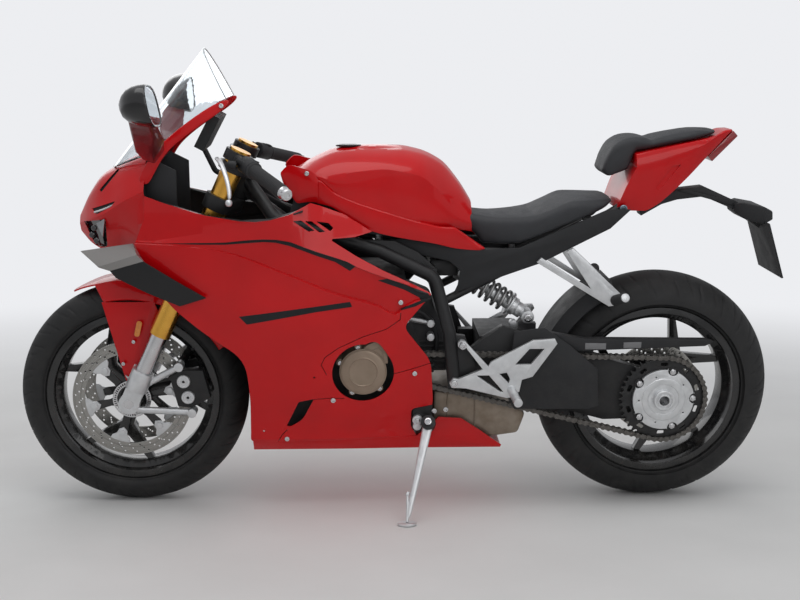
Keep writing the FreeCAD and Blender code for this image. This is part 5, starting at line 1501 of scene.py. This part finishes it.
def screen_arms():
    """The red arms that carry the screen's edges, each with a screw."""
    path = [((1322, 131, 872), 30, 4), ((1303, 127, 908), 30, 5), ((1282, 122, 944), 27, 6),
            ((1258, 118, 969), 24, 6), ((1215, 113, 1004), 25, 6), ((1165, 108, 1038), 27, 6),
            ((1130, 102, 1060), 24, 5), ((1106, 98, 1075), 10, 4)]
    rings = []
    for k, (point, wide, thick) in enumerate(path):
        before, after = Vector(path[max(k - 1, 0)][0]), Vector(path[min(k + 1, len(path) - 1)][0])
        along = (after - before).normalized()
        out = Vector((0, 1, 0.15)).normalized()
        across = along.cross(out).normalized()
        ring = []
        for a, b in ((-0.5, -0.5), (-0.5, 0.3), (-0.32, 0.5), (0.32, 0.5), (0.5, 0.3), (0.5, -0.5)):
            ring.append(tuple(Vector(point) + across * wide * a + out * thick * b))
        rings.append(ring)
    arm = lofted("screen_arms", rings)
    modify(arm, "SUBSURF", levels=2, render_levels=2)
    smooth(arm, 40)
    park(both_sides(arm), "red_paint")
    park(both_sides(screws("screen_screws", [(1125, 104.5, 1062)], 6, (0, 1, 0.1))), "bright_steel")


def arc_through(start, top, end, count):
    """Points on the arc from one point over a second to a third."""
    start, top, end = Vector(start), Vector(top), Vector(end)
    points = []
    for k in range(count):
        u = 2 * k / (count - 1) - 1
        middle = (start + end) / 2
        points.append(tuple(middle + (end - start) / 2 * sin(u * pi / 2)
                            + (top - middle) * cos(u * pi / 2)))
    return points


def screen_rim_highlight():
    """A pale rod along the screen's upper edge, a painted highlight for the glint on its clear edge, and
    the dark seal at its foot.
    """
    # The rim is painted light: a pale grey rod in place of the glint on the screen's clear edge.
    rim = hose("screen_rim_highlight", arc_through((1114, 90, 1078), (1176, 0, 1199), (1114, -90, 1078), 17), 1.8)
    park(rim, "screen_glint_and_lamp_bar")
    foot = hose("screen_foot", arc_through((1264, 107, 963), (1413, 0, 903), (1264, -107, 963), 17), 2.2)
    park(foot, "gloss_black")


def mirror_ring(x, share, lean):
    """The housing's rounded outline at one station, smaller as share falls."""
    ring = []
    for k in range(28):
        angle = 2 * pi * k / 28
        a, b = cos(angle), sin(angle)
        a = abs(a) ** 0.7 * (1 if a > 0 else -1)
        b = abs(b) ** 0.7 * (1 if b > 0 else -1)
        y = 300 + 73 * a * share * (1 - 0.06 * b) + 4 * b
        z = 1074 + 48 * b * share + 7 * a * share
        ring.append((x + lean * (z - 1030), y, z))
    return ring


def mirror():
    """Housing, glass and stalk of both mirrors."""
    stations = [(1250, 0.95, 0.17), (1249, 1.0, 0.17), (1254, 1.03, 0.16), (1270, 1.01, 0.13),
                (1290, 0.94, 0.08), (1309, 0.80, 0.02), (1323, 0.58, -0.02), (1331, 0.30, -0.02),
                (1334, 0.05, 0.0)]
    housing = lofted("mirror_housing", [mirror_ring(*row) for row in stations])
    face = lofted("face", [mirror_ring(1240, 0.91, 0.17), mirror_ring(1254, 0.91, 0.17)])
    carve(housing, face)
    bevel(housing, 1.2, 50)
    smooth(housing, 40)
    glass = lofted("mirror_glass", [mirror_ring(1251.5, 0.90, 0.17), mirror_ring(1253.5, 0.90, 0.17)])
    stalk = lofted("mirror_stalk", [
        [(1264, 119, 955), (1290, 119, 918), (1320, 121, 932), (1306, 119, 962)],
        [(1257, 160, 984), (1285, 166, 946), (1328, 168, 956), (1322, 160, 988)],
        [(1262, 215, 1024), (1272, 225, 994), (1324, 225, 1000), (1328, 215, 1030)],
        [(1268, 262, 1046), (1274, 272, 1030), (1320, 272, 1034), (1324, 262, 1050)]])
    bevel(stalk, 4, 40, 3)
    smooth(stalk, 45)
    for piece, kind, slot in ((housing, "gloss_black", "gloss_black"),
                              (glass, "mirror_glass", "bright_steel"), (stalk, "dark_red", "red_paint")):
        park(smooth(both_sides(piece), 40), kind)
    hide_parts("mirrors")


def headlamp_units():
    """Inside each lamp opening: small dark lenses, a reflector, and the light bar in the slot above."""
    lenses = []
    for x, y, z in ((1466, 62, 735), (1452, 76, 722), (1458, 70, 754)):
        lens = turned("lens", [(0, -4), (7, -4), (8, 0), (6.5, 2), (3, 3), (0, 3.4)], (x, y, z), 36)
        lenses.append(smooth(lens, 40))
    row = join("headlamp_lenses", *lenses)
    wedge = lofted("headlamp_reflectors", [[(1448, 88, 769), (1424, 104, 783), (1432, 98, 736)],
                                           [(1447, 84, 769), (1423, 100, 783), (1431, 94, 736)]])
    bar = hose("headlamp_bar", [(1452, 86, 797), (1428, 99, 804), (1398, 110, 819)], 2.4)
    for piece, kind in ((row, "lamp_lens"), (wedge, "lamp_glass"), (bar, "screen_glint_and_lamp_bar")):
        park(both_sides(piece), kind)


def winglets():
    """A pale vane that slopes down from the nose, and a dark leg that sweeps back along the fairing."""
    rows = [((1490, 92, 698), (1347, 146, 727)), ((1432, 165, 672), (1332, 186, 706)),
            ((1402, 172, 664), (1315, 194, 692)), ((1387, 178, 648), (1299, 200, 683)),
            ((1310, 189, 612), (1232, 208, 643)), ((1231, 196, 580), (1164, 213, 604))]
    vane, leg = [], []
    for piece, chosen in ((vane, rows[:3]), (leg, rows[2:])):
        for front, rear in chosen:
            piece.append([tuple(Vector(front).lerp(Vector(rear), k / 8)) for k in range(9)])
    for name, skin, kind in (("winglet_vanes", vane, "pale_weave"),
                             ("winglet_legs", leg, "winglet_weave")):
        sheet = lofted(name, skin, closed=False)
        modify(sheet, "SOLIDIFY", thickness=0.005, offset=0)
        bevel(sheet, 1, 50)
        park(smooth(both_sides(sheet), 20), kind)
        if kind == "winglet_weave":
            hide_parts("winglets")


def cockpit_sides():
    """The dark inner walls that close the corner behind the nose."""
    wall = plate("cockpit_sides", [(1240, 770), (1316, 760), (1318, 900), (1290, 930), (1240, 905)], 112,
                 116)
    softened(wall, 1)
    park(both_sides(wall), "black_plastic")


nose()
screen_arms()
screen_rim_highlight()
mirror()
headlamp_units()
winglets()
cockpit_sides()


# Tail
TAIL_TOP = [(150, 930), (86, 944), (-10, 963), (-80, 976), (-120, 985), (-150, 999), (-170, 1001)]
TAIL_LOW = [(150, 812), (132, 804), (100, 798), (60, 797), (30, 810), (5, 828), (-50, 878), (-105, 935),
            (-150, 978), (-170, 996)]
TAIL_CREASE = [(150, 900), (88, 911), (43, 921), (-11, 937), (-81, 961), (-139, 992), (-170, 999)]
TAIL_HALF = [(150, 101), (140, 100), (40, 92), (-30, 78), (-100, 62), (-140, 48), (-170, 35)]


def tail():
    """The tail's shell with its recesses, the red strips below it, and the lock."""
    rings = []
    for x in stations(150, -169, 64):
        top, low, half = curve_through(TAIL_TOP, x), curve_through(TAIL_LOW, x), curve_through(TAIL_HALF,
                                                                                               x)
        crease = min(max(curve_through(TAIL_CREASE, x), low + 1.5), top - 1)
        side = [(0, low + 1), (half * 0.55, low + 0.5), (half * 0.80, low), (half * 0.87, low + 1.2),
                (half * 0.95, mixed(low, crease, 0.4)), (half * 0.985, mixed(low, crease, 0.8)),
                (half, crease), (half * 0.965, mixed(crease, top, 0.5)), (half * 0.90, top - 1),
                (half * 0.86, top), (0, top)]
        rings.append([(x, y, z) for y, z in side] + [(x, -y, z) for y, z in side[-2:0:-1]])
    cowl = lofted("tail_cowl_shell", rings)
    front = plate("front", [(134, 790), (134, 803), (112, 862), (88, 910), (88, 1020), (-200, 1020),
                            (-200, 780)], -130, 130)
    carve(cowl, front, how="INTERSECT")
    slot = plate("slot", eased([(-8, 913, 3), (-30, 915, 4), (26, 850, 4), (36, 858, 4)]), 30, 130)
    both_sides(slot)
    shallow = tail_recess(slot)
    carve(cowl, shallow)
    bevel(cowl, 0.9, 35)
    smooth(cowl, 22)
    strip = plate("tail_strips", eased([(138, 800), (173, 791), (236, 765), (233, 755, 4), (205, 762, 10),
                                        (122, 797, 8)]), 100, 110)
    softened(strip, 1.2)
    both_sides(strip)
    park(cowl, "red_paint")
    park(smooth(strip, 30), "red_paint")
    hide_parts("tail_cowl")
    lock = turned("seat_lock", [(0, -4), (9.5, -4), (9.5, 2), (8, 3.2), (6, 3.2), (5, 1.4), (0, 1.4)],
                  (117, 97, 806), 40)
    park(smooth(lock, 30), "lock_blue")
    # The keyway is painted shade: a thin black plate on the lock's face in place of the dark slot.
    keyway_shade = plate("keyway_shade", [(113, 805.2), (121, 805.2), (121, 806.8), (113, 806.8)], 98, 98.8)
    park(softened(keyway_shade, 0.1), "black_metal")


def tail_recess(piece):
    """Keeps the outer few millimetres of a cutter, so that it leaves a shallow recess in the tail."""
    core = lofted("core", [[(x, y * (curve_through(TAIL_HALF, x) - 5.5), z) for y,
                            z in ((-1, 780), (1, 780), (1, 1010), (-1, 1010))] for x in (150, 90, 40, 0,
                                                                                         -40, -80, -120,
                                                                                         -168)])
    return carve(piece, core)


def plate_carrier():
    """The arm's boxed end and its two ribs."""
    box = lofted("plate_box", [
        [(-190, -30, 786), (-190, 30, 786), (-188, 30, 808), (-188, -30, 808)],
        [(-215, -48, 770), (-215, 48, 770), (-212, 48, 813), (-212, -48, 813)],
        [(-262, -60, 758), (-262, 60, 758), (-262, 60, 803), (-262, -60, 803)],
        [(-290, -44, 768), (-290, 44, 768), (-288, 44, 790), (-288, -44, 790)]])
    softened(box, 4, 25, 3)
    park(box, "black_plastic")
    ribs = [plate("rib", [(-196, 812), (-60, 846), (-40, 842), (-190, 802)], y, y + 4) for y in (-25, 21)]
    park(softened(join("arm_ribs", *ribs), 1), "black_plastic")


tail()
plate_carrier()


# Handlebars
def along_bar(piece, start, end):
    """Lays a piece that was made along Y from the origin onto the line from one point to another."""
    start, end = metres(start), metres(end)
    turn = Vector((0, 1, 0)).rotation_difference((end - start).normalized()).to_matrix().to_4x4()
    piece.matrix_world = Matrix.Translation(start) @ turn
    return settle(piece)


def grips_and_levers():
    """Grips, bar ends, levers and the switches' buttons."""
    inner = FORK @ metres((-3, 139, 703)) * 1000
    outer = Vector((965, 345, 884))
    along = (outer - inner).normalized()
    start, length = inner + along * 92, (outer - inner).length + 8 - 92
    profile = [(11, 0), (20.5, 0), (21.5, 2), (20.5, 5), (17, 7)]
    place = 9.0
    while place < length - 12:
        profile += [(17, place), (17, place + 3.6), (15.9, place + 4.2), (15.9, place + 5.4)]
        place += 6.0
    profile += [(17, length - 8), (16.4, length - 2), (11, length - 1)]
    grip = along_bar(smooth(turned("grip_sleeves", profile, (0, 0, 0), 48), 30), start, outer)
    end = along_bar(smooth(turned("bar_end_weights", [(0, -2), (15, -2), (15.5, 0), (14, 4), (14, 17),
                                                      (12, 20), (6, 20.5), (5, 18), (0, 18)], (0, 0, 0),
                                  48), 30), start + along * (length - 1), outer + along * 60)
    for piece, kind in ((grip, "grip_rubber"), (end, "bright_steel")):
        park(smooth(both_sides(piece), 30), kind, body="steering")
    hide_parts("grips")

    path = [((1126, 152, 936), 10, 6), ((1128, 176, 940), 11, 6), ((1124, 200, 941), 8, 5.5),
            ((1116, 222, 934), 6.5, 5), ((1106, 244, 917), 6, 4.5), ((1098, 262, 896), 5.5, 4.5),
            ((1092, 276, 874), 5.5, 4.5), ((1092, 288, 856), 4.5, 4)]
    rings = []
    for k, (point, wide, thick) in enumerate(path):
        before, after = Vector(path[max(k - 1, 0)][0]), Vector(path[min(k + 1, len(path) - 1)][0])
        ahead = (after - before).normalized()
        level = ahead.cross(Vector((1, 0, 0.3))).normalized()
        other = ahead.cross(level)
        rings.append([tuple(Vector(point) + other * wide * cos(2 * pi * i / 12)
                            + level * thick * sin(2 * pi * i / 12)) for i in range(12)])
    blade = lofted("lever_blades", rings)
    modify(blade, "SUBSURF", levels=1, render_levels=1)
    deselect()
    bpy.ops.mesh.primitive_uv_sphere_add(segments=20, ring_count=12, radius=0.0085,
                                         location=metres((1093, 292, 850)))
    knob = bpy.context.object
    knob.name = "lever_knob"
    levers = join("lever_blades", blade, knob)
    settle(levers)
    park(smooth(both_sides(levers), 50), "cast_alloy", body="steering")
    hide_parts("levers")

    middle = inner + along * 66
    bits = []
    for reach, wide, tall, deep in ((8, 12, 8, 6), (-8, 9, 9, 5), (0, 30, 4, 5)):
        spot = middle + along * reach + Vector((-12, 0, 16)).normalized() * 20
        deselect()
        bpy.ops.mesh.primitive_cube_add(size=1, location=metres(spot), rotation=(0.4, -0.3, -0.5))
        button = bpy.context.object
        button.scale = (wide / 1000, tall / 1000, deep / 1000)
        bits.append(softened(button, 1.2))
    perch = rod("perch", tuple(middle + Vector((30, 0, 4))), tuple(middle + Vector((52, 0, 8))), 11, 28,
                9)
    bits.append(softened(perch, 1.5))
    pods = join("switch_buttons", *bits)
    park(smooth(both_sides(pods), 30), "black_plastic", body="steering")


grips_and_levers()


# Brakes, reflector and front screws
def caliper_caps():
    """The round caps on the front calipers."""
    turn = radians(141.5)
    reach = 150
    caps = []
    for slide in (-22, 22):
        x = reach * cos(turn) - slide * sin(turn)
        z = reach * sin(turn) + slide * cos(turn)
        caps.append(turned("cap", [(0, 99), (17.5, 99), (17.5, 104), (16, 106.5), (12.5, 107),
                                   (11.5, 105.6), (8, 105.6), (7, 107), (4, 107), (3.6, 104.6),
                                   (0, 104.6)], (x, 0, z), 48))
    piece = join("caliper_caps", *caps)
    park(smooth(both_sides(piece), 25), "cast_alloy", body="steering", on=FORK)


def reflectors():
    """The amber reflectors and the screws on the fork."""
    pill = plate("side_reflectors", eased([(1359, 516, 7), (1345, 513, 7), (1355, 472, 7),
                                           (1369, 475, 7)]), 84, 89)
    softened(pill, 1.5)
    park(smooth(both_sides(pill), 30), "amber_lens", body="steering")
    heads = screws("fender_screws", [(1371, 82, 459), (1400, 82, 400)], 5)
    park(both_sides(heads), "bright_steel", body="steering")


def stand():
    """The stand's flat leg with its prong and shoe, the round pivot, and the bolted lug above it."""
    axis = Vector((0.099, 0.83, 0.548)).normalized()
    pivot, foot = Vector((612, 160, 258)), Vector((672, 296, 41.7))
    along = (foot - pivot).normalized()
    wide_way = along.cross(axis).normalized()
    rings = []
    for share, wide, thick in ((0.02, 15, 6), (0.06, 14, 6), (0.3, 12, 6), (0.55, 9.5, 6),
                               (0.8, 7.5, 5.5), (0.97, 6.5, 5)):
        spot = pivot.lerp(foot, share)
        rings.append([tuple(spot + wide_way * wide * cos(pi * k / 4) + axis * thick * sin(pi * k / 4))
                      for k in range(8)])
    leg = lofted("stand_leg", rings)
    modify(leg, "SUBSURF", levels=2, render_levels=2)
    prong_start = pivot.lerp(foot, 0.72) + wide_way * 14 * (-1 if wide_way.x < 0 else 1)
    prong = rod("prong", tuple(prong_start), tuple(foot + along * -3), 3.4, 16)
    pin = softened(rod("pin", tuple(prong_start - along * 4), tuple(prong_start + along * 6), 5.5, 20), 1)
    joined = join("stand_leg", smooth(leg, 60), prong, pin)
    park(smooth(joined, 50), "cast_alloy", body="side_stand")
    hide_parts("side_stand")
    shoe = rod("stand_shoe", (0, 0, -4), (0, 0, 3), 24, 48)
    shoe.scale = (1.0, 0.72, 1.0)
    settle(shoe)
    softened(shoe, 2)
    level = Matrix.Rotation(radians(LEAN), 4, "X")
    shoe.matrix_world = Matrix.Translation(metres(foot + Vector((0, 0, -1)))) @ level
    park(shoe, "cast_alloy", body="side_stand")
    boss = softened(rod("stand_pivot", tuple(pivot - axis * 11), tuple(pivot + axis * 12), 19, 48), 1.5)
    park(smooth(boss, 30), "black_metal", body="side_stand")
    park(screws("stand_bolt", [tuple(pivot + axis * 12)], 10, axis), "bright_steel", body="side_stand")
    lug = [softened(rod("lug", (640, 128, 262), (640, 150, 262), 13, 36), 1.5),
           softened(rod("lug", (640, 132, 244), (640, 146, 244), 11, 36), 1.5)]
    piece = join("stand_lug", *lug)
    park(smooth(piece, 30), "cast_alloy")
    park(screws("stand_lug_bolts", [(640, 150, 262), (596, 134, 283), (566, 134, 287)], 7), "bright_steel")


def shock_absorber():
    """The damper with its coil spring, collars and the silver eyes at both ends."""
    low, high = Vector((352, 50, 520)), Vector((548, 50, 648))
    along = (high - low).normalized()
    side = Vector((0, 1, 0))
    other = along.cross(side)
    length = (high - low).length
    coil = []
    for k in range(6 * 14 + 1):
        angle = 2 * pi * k / 14
        coil.append(tuple(low + along * (60 + 112 * k / 84) + side * 28 * cos(angle)
                          + other * 28 * sin(angle)))
    spring = hose("shock_spring", coil, 4.4, 3)
    park(spring, "spring_steel")
    rods = []
    for start, end, radius in ((14, 34, 20), (34, 50, 24), (50, 56, 32), (56, 120, 17), (120, 178, 12),
                               (176, 184, 32), (184, length - 18, 22)):
        rods.append(softened(rod("step", tuple(low + along * start), tuple(low + along * end), radius,
                                 40), 1.2))
    for centre, reach in ((low, 40), (high, 19)):
        rods.append(softened(rod("eye", tuple(centre - side * 18), tuple(centre + side * reach), 17, 40),
                             1.5))
    damper = join("shock_damper", *rods)
    park(smooth(damper, 30), "cast_alloy")
    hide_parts("shock")
    park(screws("shock_bolts", [tuple(low + side * 40), tuple(high + side * 19)], 11), "bright_steel")
    link = softened(rod("link_eye", (388, 60, 501), (388, 84, 501), 10, 30), 1.5)
    park(smooth(link, 30), "cast_alloy")


def small_parts():
    """Screws and sleeves of the footrests, blank labels on the chain guard, and the muffler's welds."""
    park(both_sides(screws("bracket_screws", [(530, 195, 474), (550, 195, 376)], 9)), "bright_steel")
    sleeve = rod("peg_sleeves", (133, 128, 573.5), (124.4, 193, 595), 13.2, 32)
    rings = [rod("ring", (133 - 8.6 * k / 9, 128 + 65 * k / 9, 573.5 + 21.5 * k / 9),
                 (133 - 8.6 * (k + 0.5) / 9, 128 + 65 * (k + 0.5) / 9, 573.5 + 21.5 * (k + 0.5) / 9),
                 14.4, 32) for k in range(9)]
    sleeve = join("peg_sleeves", softened(sleeve, 1), *[softened(ring, 0.7) for ring in rings])
    park(smooth(both_sides(sleeve), 30), "grip_rubber")
    labels = [softened(plate("label", outline, 149, 149.8), 0.2) for outline in (
        [(211, 450), (157, 450), (157, 466), (211, 467)], [(112, 453), (66, 453), (66, 469), (112, 468)])]
    park(join("guard_labels", *labels), "label_grey")
    welds = []
    for x, z0, z1 in ((560, 212, 318), (488, 206, 312)):
        seam = hose("weld", [(x, 109, z0), (x - 1, 109.6, mixed(z0, z1, 0.5)), (x, 109, z1)], 1.5)
        welds.append(seam)
    seam = join("muffler_welds", *welds)
    park(both_sides(seam), "brown_steel")


stand()
shock_absorber()
small_parts()
caliper_caps()
reflectors()


bpy.data.objects.remove(SCREW)
bpy.context.view_layer.update()
